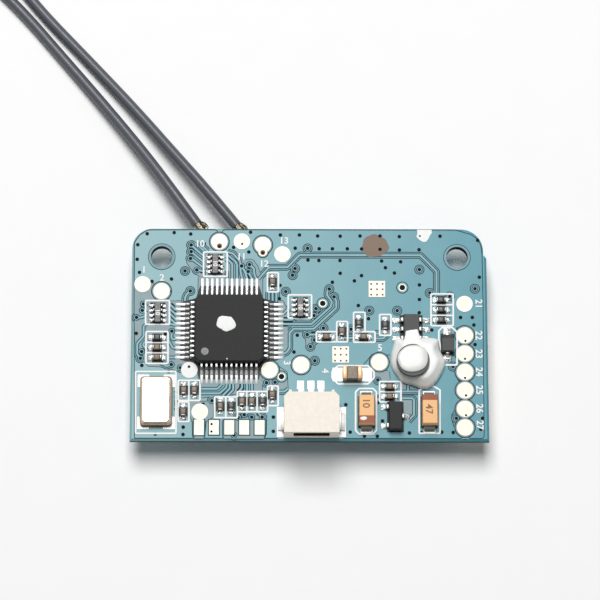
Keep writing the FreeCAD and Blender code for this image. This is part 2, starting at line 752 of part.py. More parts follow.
def make_crystal(pads):
    base = new_body("crystal_base")
    outline = new_sketch(base, "crystal_base_outline", "XY_Plane")
    add_outline(outline, rectangle("CrystalWidth / 2", "-CrystalLength / 2", "CrystalLength / 2"))
    slab = pad(base, "crystal_base_slab", outline, "CrystalBaseHeight")
    base.Tip = soften(base, "Fillet", "crystal_base_corners", slab, lambda point, edge: is_upright(edge),
                      "CrystalCornerRadius")
    seat(base, "CrystalX", "CrystalY", "PadTop")
    lid = new_body("crystal_lid")
    rim = new_sketch(lid, "crystal_rim_outline", "XY_Plane")
    half_x = "CrystalWidth / 2 - CrystalLidMargin"
    half_y = "CrystalLength / 2 - CrystalLidMargin"
    add_outline(rim, rectangle(half_x, f"-({half_y})", half_y))
    flange = pad(lid, "crystal_rim", rim, "CrystalLidRim")
    rounded = soften(lid, "Fillet", "crystal_rim_corners", flange, lambda point, edge: is_upright(edge),
                     "CrystalCornerRadius")
    lid.Tip = rounded
    raised = new_sketch(lid, "crystal_top_outline", "XY_Plane")
    inner_x = f"{half_x} - CrystalLidInset"
    inner_y = f"{half_y} - CrystalLidInset"
    add_outline(raised, rectangle(inner_x, f"-({inner_y})", inner_y))
    raised_pad = pad(lid, "crystal_top", raised, "CrystalLidHeight")
    low = value("CrystalLidRim")
    tall = soften(lid, "Fillet", "crystal_top_corners", raised_pad,
                  lambda point, edge: is_upright(edge) and point.z > low, "CrystalCornerRadius")
    lid.Tip = tall
    seat(lid, "CrystalX", "CrystalY", "PadTop + CrystalBaseHeight")
    for side_x in "-+":
        for side_y in "-+":
            name = f"crystal_pad_{'left' if side_x == '-' else 'right'}_{'low' if side_y == '-' else 'high'}"
            centre = (f"CrystalX {side_x} (CrystalWidth / 2 + CrystalPadOverhang - CrystalPadWidth / 2)",
                      f"CrystalY {side_y} (CrystalLength / 2 + CrystalPadOverhang - CrystalPadLength / 2)")
            pads.append(pad_plate(name, centre, ("CrystalPadWidth", "CrystalPadLength")))


# Chips

def make_arrays(pads):
    bodies = []
    terminals = []
    for index in range(1, len(ARRAY_PLACES) + 1):
        x = f"Array{index}X"
        y = f"Array{index}Y"
        bodies.append(block(f"array_body_{index}", (x, y),
                            ("ArrayWidth - 2 * ArrayTerminalDepth", "ArrayLength", "ArrayHeight"), "PadTop"))
        for side in "-+":
            for step in range(4):
                row = f"{y} + {step - 1.5} * ArrayPitch"
                name = f"array_{index}_{'left' if side == '-' else 'right'}_{step + 1}"
                centre = (f"{x} {side} (ArrayWidth - ArrayTerminalDepth) / 2", row)
                terminals.append(block(f"{name}_terminal", centre,
                                       ("ArrayTerminalDepth", "ArrayTerminalWidth", "ArrayHeight"), "PadTop"))
                length = "ArrayTerminalDepth + ArrayPadReach"
                centre = (f"{x} {side} (ArrayWidth / 2 + ArrayPadReach - ({length}) / 2)", row)
                pads.append(pad_plate(f"{name}_pad", centre, (length, "ArrayTerminalWidth")))
    group("resistor_array_bodies", bodies)
    group("resistor_array_terminals", terminals)


def chip(name, place, direction, height, low, pad_low, pads, bodies, terminals):
    """A two-terminal chip: a body between two end terminals, on two pads."""
    x, y = place
    core = "ChipLength - 2 * ChipTerminalLength"
    size = (core, "ChipWidth", height) if direction == "x" else ("ChipWidth", core, height)
    bodies.append(block(f"{name}_body", (x, y), size, low))
    reach = "ChipTerminalLength + ChipPadReach"
    for side in "-+":
        end = f"{side} (ChipLength - ChipTerminalLength) / 2"
        out = f"{side} (ChipLength / 2 + ChipPadReach - ({reach}) / 2)"
        part = f"{name}_{'first' if side == '-' else 'second'}"
        if direction == "x":
            terminals.append(block(f"{part}_terminal", (f"{x} {end}", y),
                                   ("ChipTerminalLength", "ChipWidth", height), low))
            pads.append(pad_plate(f"{part}_pad", (f"{x} {out}", y), (reach, "ChipPadWidth"), pad_low))
        else:
            terminals.append(block(f"{part}_terminal", (x, f"{y} {end}"),
                                   ("ChipWidth", "ChipTerminalLength", height), low))
            pads.append(pad_plate(f"{part}_pad", (x, f"{y} {out}"), ("ChipPadWidth", reach), pad_low))


def make_chips(pads):
    bodies = {"capacitor": [], "resistor": []}
    terminals = []
    rows = (("capacitor", "x", CAPACITORS_ALONG_X), ("capacitor", "y", CAPACITORS_ALONG_Y),
            ("resistor", "x", RESISTORS_ALONG_X), ("resistor", "y", RESISTORS_ALONG_Y))
    for kind, direction, places in rows:
        alias = f"{kind.capitalize()}{direction.upper()}"
        for index in range(1, len(places) + 1):
            chip(f"{kind}_{direction}_{index}", (f"{alias}{index}X", f"{alias}{index}Y"), direction,
                 f"{kind.capitalize()}Height", "PadTop", "BoardTop", pads, bodies[kind], terminals)
    group("capacitor_chip_bodies", bodies["capacitor"])
    group("resistor_chip_bodies", bodies["resistor"])
    group("chip_terminals", terminals)


def make_bulk_capacitor(pads):
    place = ("BulkX", "BulkY")
    core = block("bulk_capacitor_core", place, ("BulkLength - 2 * BulkTerminalLength", "BulkWidth", "BulkHeight"),
                 "PadTop")
    keep(core, "bulk_capacitor_body")
    ends = []
    length = "BulkTerminalLength + BulkPadReach"
    for side in "-+":
        name = f"bulk_{'left' if side == '-' else 'right'}"
        centre = (f"BulkX {side} (BulkLength - BulkTerminalLength) / 2", "BulkY")
        ends.append(block(f"{name}_end", centre, ("BulkTerminalLength", "BulkWidth", "BulkHeight"), "PadTop"))
        centre = (f"BulkX {side} (BulkLength / 2 + BulkPadReach - ({length}) / 2)", "BulkY")
        pads.append(pad_plate(f"{name}_pad", centre, (length, "BulkPadWidth")))
    group("bulk_capacitor_ends", ends)


def make_tantalum(number, x, pads):
    """A moulded capacitor with a terminal folded under each end."""
    thick = "TantalumTerminalThickness"
    half = "TantalumLength / 2"
    case = moulded_case(f"tantalum_case_{number}", "TantalumWidth / 2", half, None, thick,
                        "TantalumLandLow", thick, "TantalumHeight", "TantalumDraft")
    seat(case, x, "TantalumY", "PadTop")
    ends = new_body(f"tantalum_terminals_{number}")
    sketch = new_sketch(ends, f"terminal_profile_{number}", "YZ_Plane")
    outer = f"{half} + {thick}"
    add_outline(sketch, [
        (half, f"TantalumLandLow + {thick}"), (outer, f"TantalumLandLow + {thick}"), (outer, "0"),
        (f"{outer} - TantalumFoot", "0"), (f"{outer} - TantalumFoot", thick), (half, thick)])
    one = pad(ends, f"terminal_{number}", sketch, "TantalumTerminalWidth", SideType="Symmetric")
    repeat(ends, f"terminal_pair_{number}", one, [pattern_around(ends, f"terminal_ends_{number}", 2)])
    seat(ends, x, "TantalumY", "PadTop")
    length = "TantalumFoot + TantalumPadReach"
    for side in "-+":
        name = f"tantalum_{number}_{'front' if side == '-' else 'back'}_pad"
        centre = (x, f"TantalumY {side} ({outer} + TantalumPadReach - ({length}) / 2)")
        pads.append(pad_plate(name, centre, ("TantalumTerminalWidth", length)))


# Inductor and silicone

def make_inductor(pads):
    core = new_body("inductor_core")
    sketch = new_sketch(core, "drum_profile", "XZ_Plane")
    base = "InductorTerminalThickness"
    add_outline(sketch, [
        ("0", base), ("InductorRadius", base), ("InductorRadius", f"{base} + InductorFlange"),
        ("InductorWaistRadius", f"{base} + InductorFlange"),
        ("InductorWaistRadius", "InductorHeight - InductorFlange"),
        ("InductorRadius", "InductorHeight - InductorFlange"), ("InductorRadius", "InductorHeight"),
        ("0", "InductorHeight")])
    drum = core.newObject("PartDesign::Revolution", "drum")
    drum.Profile = sketch
    drum.ReferenceAxis = (origin_part(core, "Z_Axis"), [""])
    drum.Angle = 360
    core.Tip = drum
    seat(core, "InductorX", "InductorY", "PadTop")
    place = ("InductorX", "InductorY")
    height = f"InductorHeight - 2 * InductorFlange - {base}"
    low = f"PadTop + {base} + InductorFlange"
    outer = disc("winding_outside", place, "WindingRadius", height, low)
    inner = disc("winding_inside", place, "InductorWaistRadius", height, low)
    winding = doc.addObject("Part::Cut", "inductor_winding")
    winding.Base = outer
    winding.Tool = inner
    keep(winding, "inductor_winding")
    plates = []
    for side in "-+":
        name = f"inductor_{'left' if side == '-' else 'right'}"
        centre = (f"InductorX {side} (InductorRadius - InductorTerminalWidth / 2)", "InductorY")
        size = ("InductorTerminalWidth", "InductorTerminalLength")
        plates.append(block(f"{name}_terminal", centre, (*size, "InductorTerminalThickness"), "PadTop"))
        pads.append(pad_plate(f"{name}_pad", centre, size))
    group("inductor_terminals", plates)
    return [core, winding, *plates]


def mound(name, foot, rise, height):
    """A mound of silicone on the board: its foot is drawn in towards its middle as it rises."""
    middle_x = sum(x for x, _ in foot) / len(foot)
    middle_y = sum(y for _, y in foot) / len(foot)
    outlines = []
    for reach, share in rise:
        z = value("BoardTop") + share * value(height)
        corners = [
            V(middle_x + (x - middle_x) * reach, middle_y + (y - middle_y) * reach, z) for x, y in foot
        ]
        outlines.append(Part.makePolygon([*corners, corners[0]]))
    shape = doc.addObject("Part::Feature", name)
    shape.Shape = Part.makeLoft(outlines, True, True)
    return shape


def make_silicone(neighbours):
    """The blob that was run over the inductor, up on the converter and out to the diode."""
    blob = doc.addObject("Part::Fuse", "silicone_blob")
    blob.Base = mound("silicone_mound", SILICONE_FOOT, SILICONE_RISE, "SiliconeHeight")
    blob.Tool = mound("silicone_tongue", TONGUE_FOOT, TONGUE_RISE, "SiliconeNeckHeight")
    tools = doc.addObject("Part::Compound", "silicone_neighbours")
    tools.Links = neighbours
    cut = doc.addObject("Part::Cut", "silicone_adhesive")
    cut.Base = blob
    cut.Tool = tools
    keep(cut, "silicone_adhesive")
    cap = new_body("silicone_cap")
    sketch = new_sketch(cap, "cap_circle", "XY_Plane")
    add_circle(sketch, "0", "0", "2 * SiliconeCapRadius")
    film = pad(cap, "cap_film", sketch, "SiliconeCapThickness")
    high = value("SiliconeCapThickness") * 0.9
    cap.Tip = soften(cap, "Chamfer", "cap_bevel", film, lambda point, edge: point.z > high, "SiliconeCapBevel")
    seat(cap, "InductorX", "InductorY", "PadTop + InductorHeight")


# Connectors

def make_connector(label, count, x, y, underside, pads):
    """A side-entry connector. Its own frame has the mouth towards -Y and the board at z = 0."""
    half = f"(({count} - 1) * ContactPitch / 2 + HousingEnd)"
    back = "HousingDepth / 2"
    housing = new_body(f"{label}_housing")
    outline = new_sketch(housing, f"{label}_outline", "XY_Plane")
    add_outline(outline, [
        (f"-{half}", f"-{back}"), (half, f"-{back}"), (half, f"{back} - HousingBackChamfer"),
        (f"{half} - HousingBackChamfer", back), (f"-({half} - HousingBackChamfer)", back),
        (f"-{half}", f"{back} - HousingBackChamfer")])
    housing.Tip = pad(housing, f"{label}_block", outline, "HousingHeight")
    doc.recompute()
    mouth = new_sketch(housing, f"{label}_mouth_outline", "XZ_Plane", back)
    cavity_half = f"{half} - CavityEnd"
    add_outline(mouth, rectangle(cavity_half, "CavityFloor", "CavityFloor + CavityHeight"))
    housing.Tip = pocket(housing, f"{label}_mouth", mouth, "CavityDepth")
    slots = new_sketch(housing, f"{label}_slot_outline", "XZ_Plane", f"-({back})")
    first = f"-({count} - 1) * ContactPitch / 2"
    slot_half = "(ContactWidth / 2 + ContactPlay)"
    slot_top = "ContactBladeLow + ContactThickness + ContactPlay"
    add_outline(slots, [
        (f"{first} - {slot_half}", "-ContactPlay"), (f"{first} + {slot_half}", "-ContactPlay"),
        (f"{first} + {slot_half}", slot_top), (f"{first} - {slot_half}", slot_top)])
    slot = pocket(housing, f"{label}_slot", slots, "HousingDepth - CavityDepth", reverse=True)
    row = pattern_along(housing, f"{label}_slot_row", "X_Axis", "ContactPitch", count)
    repeat(housing, f"{label}_slots", slot, [row])
    nubs = new_sketch(housing, f"{label}_nub_outline", "XY_Plane", "HousingHeight / 2")
    for sign in "-+":
        near = f"{sign}({half} - NubInset - NubWidth)"
        far = f"{sign}({half} - NubInset)"
        add_outline(nubs, [(near, back), (far, back), (far, f"{back} + NubReach"), (near, f"{back} + NubReach")])
    housing.Tip = pad(housing, f"{label}_nubs", nubs, "HousingHeight / 2")

    contacts = new_body(f"{label}_contacts")
    side_view = new_sketch(contacts, f"{label}_contact_profile", "YZ_Plane", first)
    foot_low = "PadThickness"
    foot_top = "PadThickness + ContactThickness"
    blade_low = "ContactBladeLow"
    blade_top = "ContactBladeLow + ContactThickness"
    add_outline(side_view, [
        (f"{back} + ContactFoot", foot_low), (f"{back} + ContactFoot", foot_top),
        (f"{back} - ContactRiser + ContactThickness", foot_top),
        (f"{back} - ContactRiser + ContactThickness", blade_top),
        (f"{back} - ContactRiser - ContactBladeLength", blade_top),
        (f"{back} - ContactRiser - ContactBladeLength", blade_low),
        (f"{back} - ContactRiser", blade_low), (f"{back} - ContactRiser", foot_low)])
    one = pad(contacts, f"{label}_contact", side_view, "ContactWidth", SideType="Symmetric")
    row = pattern_along(contacts, f"{label}_contact_row", "X_Axis", "ContactPitch", count)
    repeat(contacts, f"{label}_contact_set", one, [row])

    tabs = new_body(f"{label}_tabs")
    end_view = new_sketch(tabs, f"{label}_tab_profile", "XZ_Plane", f"{back} - TabFromFront")
    add_outline(end_view, [
        (half, foot_low), (f"{half} + TabFoot", foot_low), (f"{half} + TabFoot", "PadThickness + TabThickness"),
        (f"{half} + TabThickness", "PadThickness + TabThickness"), (f"{half} + TabThickness", "TabHeight"),
        (half, "TabHeight")])
    one = pad(tabs, f"{label}_tab", end_view, "TabLength", SideType="Symmetric")
    mirror = tabs.newObject("PartDesign::Mirrored", f"{label}_tab_pair")
    mirror.Originals = [one]
    mirror.MirrorPlane = (origin_part(tabs, "YZ_Plane"), [""])
    tabs.Tip = mirror

    for body in (housing, contacts, tabs):
        if underside:
            body.Placement = FreeCAD.Placement(V(0, 0, 0), FreeCAD.Rotation(V(1, -1, 0), 180))
        seat(body, x, y, "BoardBottom" if underside else "BoardTop")

    pad_low = "PadLow" if underside else "BoardTop"

    def local_pad(name, across, along, size):
        """A pad given in the connector's own frame."""
        if underside:
            centre = (f"{x} - ({along})", f"{y} - ({across})")
            size = (size[1], size[0])
        else:
            centre = (f"{x} + ({across})", f"{y} + ({along})")
        pads.append(pad_plate(name, centre, size, pad_low))

    for number in range(1, int(value(count)) + 1):
        local_pad(f"{label}_pad_{number}", f"{first} + {number - 1} * ContactPitch",
                  f"{back} + ContactPadReach / 2 + ContactFoot / 2", ("ContactPadWidth", "ContactPadReach"))
    for side in "-+":
        name = f"{label}_tab_pad_{'first' if side == '-' else 'second'}"
        along = f"{side}({half} + TabPadWidth / 2)"
        local_pad(name, along, f"-{back} + TabFromFront", ("TabPadWidth", "TabPadLength"))
    return housing


# Shield can and radio parts

def make_shield():
    can = new_body("shield_can")
    half_x = "ShieldLength / 2"
    half_y = "ShieldWidth / 2"
    outline = new_sketch(can, "shield_outline", "XY_Plane")
    add_outline(outline, rectangle(half_x, f"-{half_y}", half_y))
    solid = pad(can, "shield_block", outline, "BoardBottom")
    rounded = soften(can, "Fillet", "shield_corners", solid, lambda point, edge: is_upright(edge),
                     "ShieldCornerRadius")
    low = value("ShieldWall") / 10
    eased = soften(can, "Chamfer", "shield_lid_edge", rounded, lambda point, edge: point.z < low,
                   "ShieldEdgeBevel")
    can.Tip = eased
    inside = new_sketch(can, "shield_inside", "XY_Plane", "BoardBottom")
    inner_x = f"{half_x} - ShieldWall"
    inner_y = f"{half_y} - ShieldWall"
    add_outline(inside, square_with_cut_corners(inner_x, inner_y, "ShieldCornerRadius / 2"))
    can.Tip = pocket(can, "shield_hollow", inside, "BoardBottom - ShieldWall")
    gaps = new_sketch(can, "shield_gap_outline", "XZ_Plane", half_y)
    for sign in "-+":
        near = f"{sign}(ShieldNotchSpacing / 2 - ShieldNotchWidth / 2)"
        far = f"{sign}(ShieldNotchSpacing / 2 + ShieldNotchWidth / 2)"
        low_edge = "BoardBottom - ShieldNotchHeight"
        high_edge = "BoardBottom + ShieldNotchHeight"
        add_outline(gaps, [(near, low_edge), (far, low_edge), (far, high_edge), (near, high_edge)])
    can.Tip = pocket(can, "shield_gaps", gaps, "ShieldWidth")
    seat(can, "ShieldX", "ShieldY", "0")


def make_radio(pads):
    transceiver = block("transceiver_block", ("TransceiverX", "TransceiverY"),
                        ("TransceiverSide", "TransceiverSide", "RadioChipHeight"), "PadLow - RadioChipHeight")
    keep(transceiver, "radio_transceiver")
    front_end = block("front_end_block", ("FrontEndX", "FrontEndY"),
                      ("FrontEndSide", "FrontEndSide", "RadioChipHeight"), "PadLow - RadioChipHeight")
    keep(front_end, "radio_front_end")
    crystal = block("radio_crystal_block", ("RadioCrystalX", "RadioCrystalY"),
                    ("RadioCrystalWidth", "RadioCrystalLength", "RadioCrystalHeight"),
                    "PadLow - RadioCrystalHeight")
    keep(crystal, "radio_crystal")
    for name, side in (("Transceiver", "TransceiverSide"), ("FrontEnd", "FrontEndSide")):
        pads.append(pad_plate(f"{name.lower()}_pad", (f"{name}X", f"{name}Y"), (side, side), "PadLow"))
    pads.append(pad_plate("radio_crystal_pad", ("RadioCrystalX", "RadioCrystalY"),
                          ("RadioCrystalWidth", "RadioCrystalLength"), "PadLow"))
    bodies = []
    terminals = []
    for index, (kind, direction, share_x, share_y) in enumerate(RADIO_CHIP_SHARES, start=1):
        height = f"{kind.capitalize()}Height"
        place = (f"ShieldX + {share_x} * ShieldLength", f"ShieldY + {share_y} * ShieldWidth")
        chip(f"radio_chip_{index}", place, direction, height, f"PadLow - {height}", "PadLow", pads, bodies,
             terminals)
    group("radio_chip_bodies", bodies)
    group("radio_chip_terminals", terminals)


# Antenna coaxes

def shaped(label, shape):
    feature = doc.addObject("Part::Feature", label)
    feature.Shape = shape
    return keep(feature, label)


def corners_about(centre, across, upward, radius, sides):
    """A closed regular outline about a centre, in the plane of two directions."""
    corners = []
    for index in range(sides):
        angle = 2 * math.pi * index / sides
        corners.append(centre + (across * math.cos(angle) + upward * math.sin(angle)) * radius)
    return Part.makePolygon([*corners, corners[0]])


def cord_outline(centre, direction, diameter, sides=CORD_SIDES):
    """The many-sided outline of a cord that runs in a direction."""
    normal = V(direction).normalize()
    across = V(-normal.y, normal.x, 0).normalize()
    return corners_about(centre, across, normal.cross(across), diameter / 2, sides)


def rod(start, direction, length, diameter, sides=CORD_SIDES):
    """A straight piece of cord, braid or wire."""
    face = Part.Face(cord_outline(start, direction, diameter, sides))
    return face.extrude(V(direction).normalize() * length)


def rounded_path(points, label):
    """Straight runs joined by tangent arcs, each as large as its two runs allow."""
    edges = []
    start = points[0]
    radii = []
    for before, corner, after in zip(points, points[1:], points[2:]):
        to_corner = corner - before
        from_corner = after - corner
        turn = to_corner.getAngle(from_corner)
        shorter = min(to_corner.Length, from_corner.Length)
        cut = 0.45 * shorter
        radius = cut / math.tan(turn / 2)
        into = V(to_corner).normalize()
        out = V(from_corner).normalize()
        enter = corner - into * cut
        leave = corner + out * cut
        bisector = V(out - into).normalize()
        middle = corner + bisector * (radius / math.cos(turn / 2) - radius)
        edges.append(Part.LineSegment(start, enter).toShape())
        edges.append(Part.Arc(enter, middle, leave).toShape())
        start = leave
        radii.append(radius)
    edges.append(Part.LineSegment(start, points[-1]).toShape())
    print(label, "arc radii", [round(radius, 1) for radius in radii])
    return Part.Wire(edges)


def make_tube(label, route, diameter):
    points = [V(*point) for point in route]
    points[0].z = value("CoaxAxis")
    points[1].z = value("CoaxAxis")
    path = rounded_path(points, label)
    ring = cord_outline(points[0], points[1] - points[0], diameter)
    tube = path.makePipeShell([ring], True, False)
    expected = Part.Face(ring).Area * path.Length
    if abs(tube.Volume / expected - 1) > 0.01:
        raise RuntimeError(f"{label} has volume {tube.Volume}, not {expected}")
    print(label, "length", round(path.Length, 2))
    shaped(label, tube)
    return points


def make_coil(label, points, side, diameter):
    """The closed outer shape of a flat round coil, with the straight stretch that leads into it."""
    heading = V(points[-1] - points[-2])
    heading.z = 0
    heading.normalize()
    touch = points[-1] + heading * value("CoilLeadIn")
    centre = touch + V(-heading.y, heading.x, 0) * side * value("CoilRadius")
    play = value("CoilPlay")
    inner = value("CoilInnerRadius") - diameter / 2 - play
    outer = value("CoilRadius") + diameter / 2 + play
    centre.z = points[-1].z - diameter / 2 - play / 2
    discs = []
    for radius in (outer / math.cos(math.pi / COIL_SIDES), inner):
        discs.append(Part.Face(corners_about(centre, V(1, 0, 0), V(0, 1, 0), radius, COIL_SIDES)))
    ring = discs[0].cut(discs[1]).extrude(V(0, 0, diameter + play))
    lead_in = rod(points[-1], heading, value("CoilLeadIn") * 1.2, diameter)
    shape = ring.fuse(lead_in).removeSplitter()
    shaped(label, shape.Solids[0])


def make_antenna(number, route, side):
    diameter = value("CoaxDiameter")
    points = make_tube(f"antenna_{number}_lead", route, diameter)
    make_coil(f"antenna_{number}_coil", points, side, diameter)
    inward = V(points[0] - points[1]).normalize()
    braid_end = points[0] + inward * value("BraidLength")
    core_end = braid_end + inward * value("CoreLength")
    braid_rod = rod(points[0], inward, value("BraidLength"), value("BraidDiameter"))
    core_rod = rod(braid_end, inward, value("CoreLength"), value("CoreDiameter"), WIRE_SIDES)
    wire_rod = rod(core_end, inward, value("WireLength"), value("WireDiameter"), WIRE_SIDES)
    braid = shaped(f"antenna_{number}_braid", braid_rod)
    core = shaped(f"antenna_{number}_core", core_rod)
    wire = shaped(f"antenna_{number}_wire", wire_rod)
    braid_joint = points[0] + inward * value("BraidJointAt")
    wire_joint = core_end + inward * value("WireJointAt")
    return braid, core, wire, braid_joint, wire_joint


def solder_mound(place, heading, width):
    """A mound of solder under the board, widest at its pad."""
    half = width / 2
    top = value("SolderTopShare") * half
    mound = Part.makeWedge(-half, 0, -half, -top, -top, half, value("SolderHeight"), half, top, top)
    across = V(-heading.y, heading.x, 0)
    turn = FreeCAD.Rotation(V(heading), V(0, 0, -1), across, "XYZ")
    mound.Placement = FreeCAD.Placement(V(place.x, place.y, value("PadLow")), turn)
    return mound


def make_antenna_joints(antennas, pads):
    blobs = {"braid": [], "wire": []}
    widths = {"braid": "BraidJointWidth", "wire": "WireJointWidth"}
    for number, (braid, core, wire, braid_joint, wire_joint) in enumerate(antennas, start=1):
        heading = V(wire_joint - braid_joint).normalize()
        joints = (("braid", braid_joint, (braid, core)), ("wire", wire_joint, (core, wire)))
        for name, place, through in joints:
            mound_shape = solder_mound(place, heading, value(widths[name]))
            for piece in through:
                mound_shape = mound_shape.cut(piece.Shape)
            blobs[name] += mound_shape.Solids
            plate = doc.addObject("Part::Box", f"antenna_{number}_{name}_pad")
            bind(plate, Length=widths[name], Width=widths[name], Height="PadThickness")
            turn = FreeCAD.Rotation(V(0, 0, 1), math.degrees(math.atan2(heading.y, heading.x)))
            half = value(widths[name]) / 2
            corner = V(place.x, place.y, 0) - turn.multVec(V(half, half, 0))
            plate.Placement = FreeCAD.Placement(corner, turn)
            plate.setExpression("Placement.Base.z", bound("PadLow"))
            pads.append(plate)
    shaped("antenna_braid_solder", Part.makeCompound(blobs["braid"]))
    shaped("antenna_wire_solder", Part.makeCompound(blobs["wire"]))


# Build, test and write

def check_parts():
    doc.recompute()
    for item in doc.Objects:
        if "Invalid" in item.State or "Error" in item.State:
            raise RuntimeError(f"{item.Label} failed: {item.State}")
    for item in parts:
        if item.Shape.isNull() or not item.Shape.isValid() or not item.Shape.Solids:
            raise RuntimeError(f"{item.Label} has no valid solid")


def main():
    fill_sheet()
    top_pads = []
    low_pads = []
    make_board()
    make_test_pads()
    make_microcontroller()
    make_crystal(top_pads)
    make_arrays(top_pads)
    make_chips(top_pads)
    make_bulk_capacitor(top_pads)
    make_tantalum(1, "TantalumFirstX", top_pads)
    make_tantalum(2, "TantalumSecondX", top_pads)
    make_regulator(top_pads)
    make_converter(top_pads)
    make_diode(top_pads)
    inductor = make_inductor(top_pads)
    make_connector("signal_connector", "SignalContacts", "SignalX", "SignalY", False, top_pads)
    make_connector("servo_connector", "ServoContacts", "BoardLength / 2 - ServoInset", "ServoY", True, low_pads)
    make_shield()
    make_radio(low_pads)
    first = make_antenna(1, FIRST_ROUTE, FIRST_COIL_SIDE)
    second = make_antenna(2, SECOND_ROUTE, SECOND_COIL_SIDE)
    antennas = [first, second]
    doc.recompute()
    make_antenna_joints(antennas, low_pads)
    component_pads = group("component_pads", top_pads)
    group("underside_pads", low_pads)
    doc.recompute()
    by_label = {item.Label: item for item in parts}
    near = [by_label[name] for name in (
        "converter_body", "converter_leads", "diode_body", "diode_leads", "tantalum_case_2",
        "tantalum_terminals_2", "capacitor_chip_bodies", "chip_terminals", "test_pads")]
    make_silicone([*inductor, *near, component_pads])
    check_parts()
    os.makedirs("parts", exist_ok=True)
    for item in parts:
        item.Shape.exportStep(f"parts/{item.Label}.step")
        print(item.Label, len(item.Shape.Solids), round(item.Shape.Volume, 4))


main()
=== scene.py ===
"""Looks of a small radio control receiver: a bare circuit board with two thin antenna leads."""
import logging
import math
import random
from dataclasses import dataclass, field
from enum import Enum

import bmesh
import bpy
from bpy.types import Curve, Material, Mesh, Node, NodeSocket, NodeTree, Object
from mathutils import Matrix, Vector


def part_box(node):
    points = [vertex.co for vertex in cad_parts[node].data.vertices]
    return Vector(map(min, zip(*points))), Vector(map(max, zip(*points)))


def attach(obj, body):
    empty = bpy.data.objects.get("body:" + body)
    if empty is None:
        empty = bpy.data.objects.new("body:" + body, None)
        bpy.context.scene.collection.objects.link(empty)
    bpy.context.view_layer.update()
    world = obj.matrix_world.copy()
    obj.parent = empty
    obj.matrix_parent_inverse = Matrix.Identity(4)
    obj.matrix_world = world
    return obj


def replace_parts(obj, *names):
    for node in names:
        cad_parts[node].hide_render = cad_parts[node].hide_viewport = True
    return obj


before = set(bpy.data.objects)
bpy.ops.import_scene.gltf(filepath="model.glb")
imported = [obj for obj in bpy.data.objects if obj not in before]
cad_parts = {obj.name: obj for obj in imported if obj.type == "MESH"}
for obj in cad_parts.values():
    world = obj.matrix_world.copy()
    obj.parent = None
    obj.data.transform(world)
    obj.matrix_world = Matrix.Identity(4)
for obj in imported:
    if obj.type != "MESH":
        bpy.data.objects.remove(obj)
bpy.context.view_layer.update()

LOG = logging.getLogger("receiver")
MM = 0.001
BODY = "root"
FRAME_PIXELS = 600
SENSOR_MM = 36.0
BOARD_LOW, BOARD_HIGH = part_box("circuit_board")
BOARD_TOP = BOARD_HIGH.z
WELD = 0.0005 * MM
BOX_VERTICES = 8
SCATTER_DEPTH = 0.5 * MM
Pixel = tuple[float, float]


# Materials

def linear(code: str) -> tuple[float, ...]:
    """Turn an sRGB hex code into the linear colour that a socket takes.

    Args:
        code: Six hex digits after a hash sign.

    Returns:
        Red, green, blue and alpha.
    """
    channels = [int(code[place:place + 2], 16) / 255 for place in (1, 3, 5)]
    return (*[c / 12.92 if c <= 0.04045 else ((c + 0.055) / 1.055) ** 2.4 for c in channels], 1.0)


def add_node(tree: NodeTree, kind: str, inputs: dict | None = None, **settings) -> Node:
    """Add one node to a tree.

    Args:
        tree: The tree that gets the node.
        kind: The node's type name.
        inputs: Socket name or number, with a value, or with the socket or the node that feeds it.
        settings: Properties of the node itself.

    Returns:
        The new node.
    """
    node = tree.nodes.new(kind)
    for name, value in settings.items():
        setattr(node, name, value)
    for socket, value in (inputs or {}).items():
        if isinstance(value, Node):
            value = next(output for output in value.outputs if output.enabled)
        if isinstance(value, NodeSocket):
            tree.links.new(value, node.inputs[socket])
        else:
            node.inputs[socket].default_value = value
    return node


def new_material(name: str) -> tuple[Material, Node, NodeSocket]:
    """Start a material.

    Args:
        name: The real material or process that it shows.

    Returns:
        The material, its shader and the piece's own coordinates.
    """
    material = bpy.data.materials.new(name)
    material.use_nodes = True
    place = add_node(material.node_tree, "ShaderNodeTexCoord")
    return material, material.node_tree.nodes["Principled BSDF"], place.outputs["Object"]


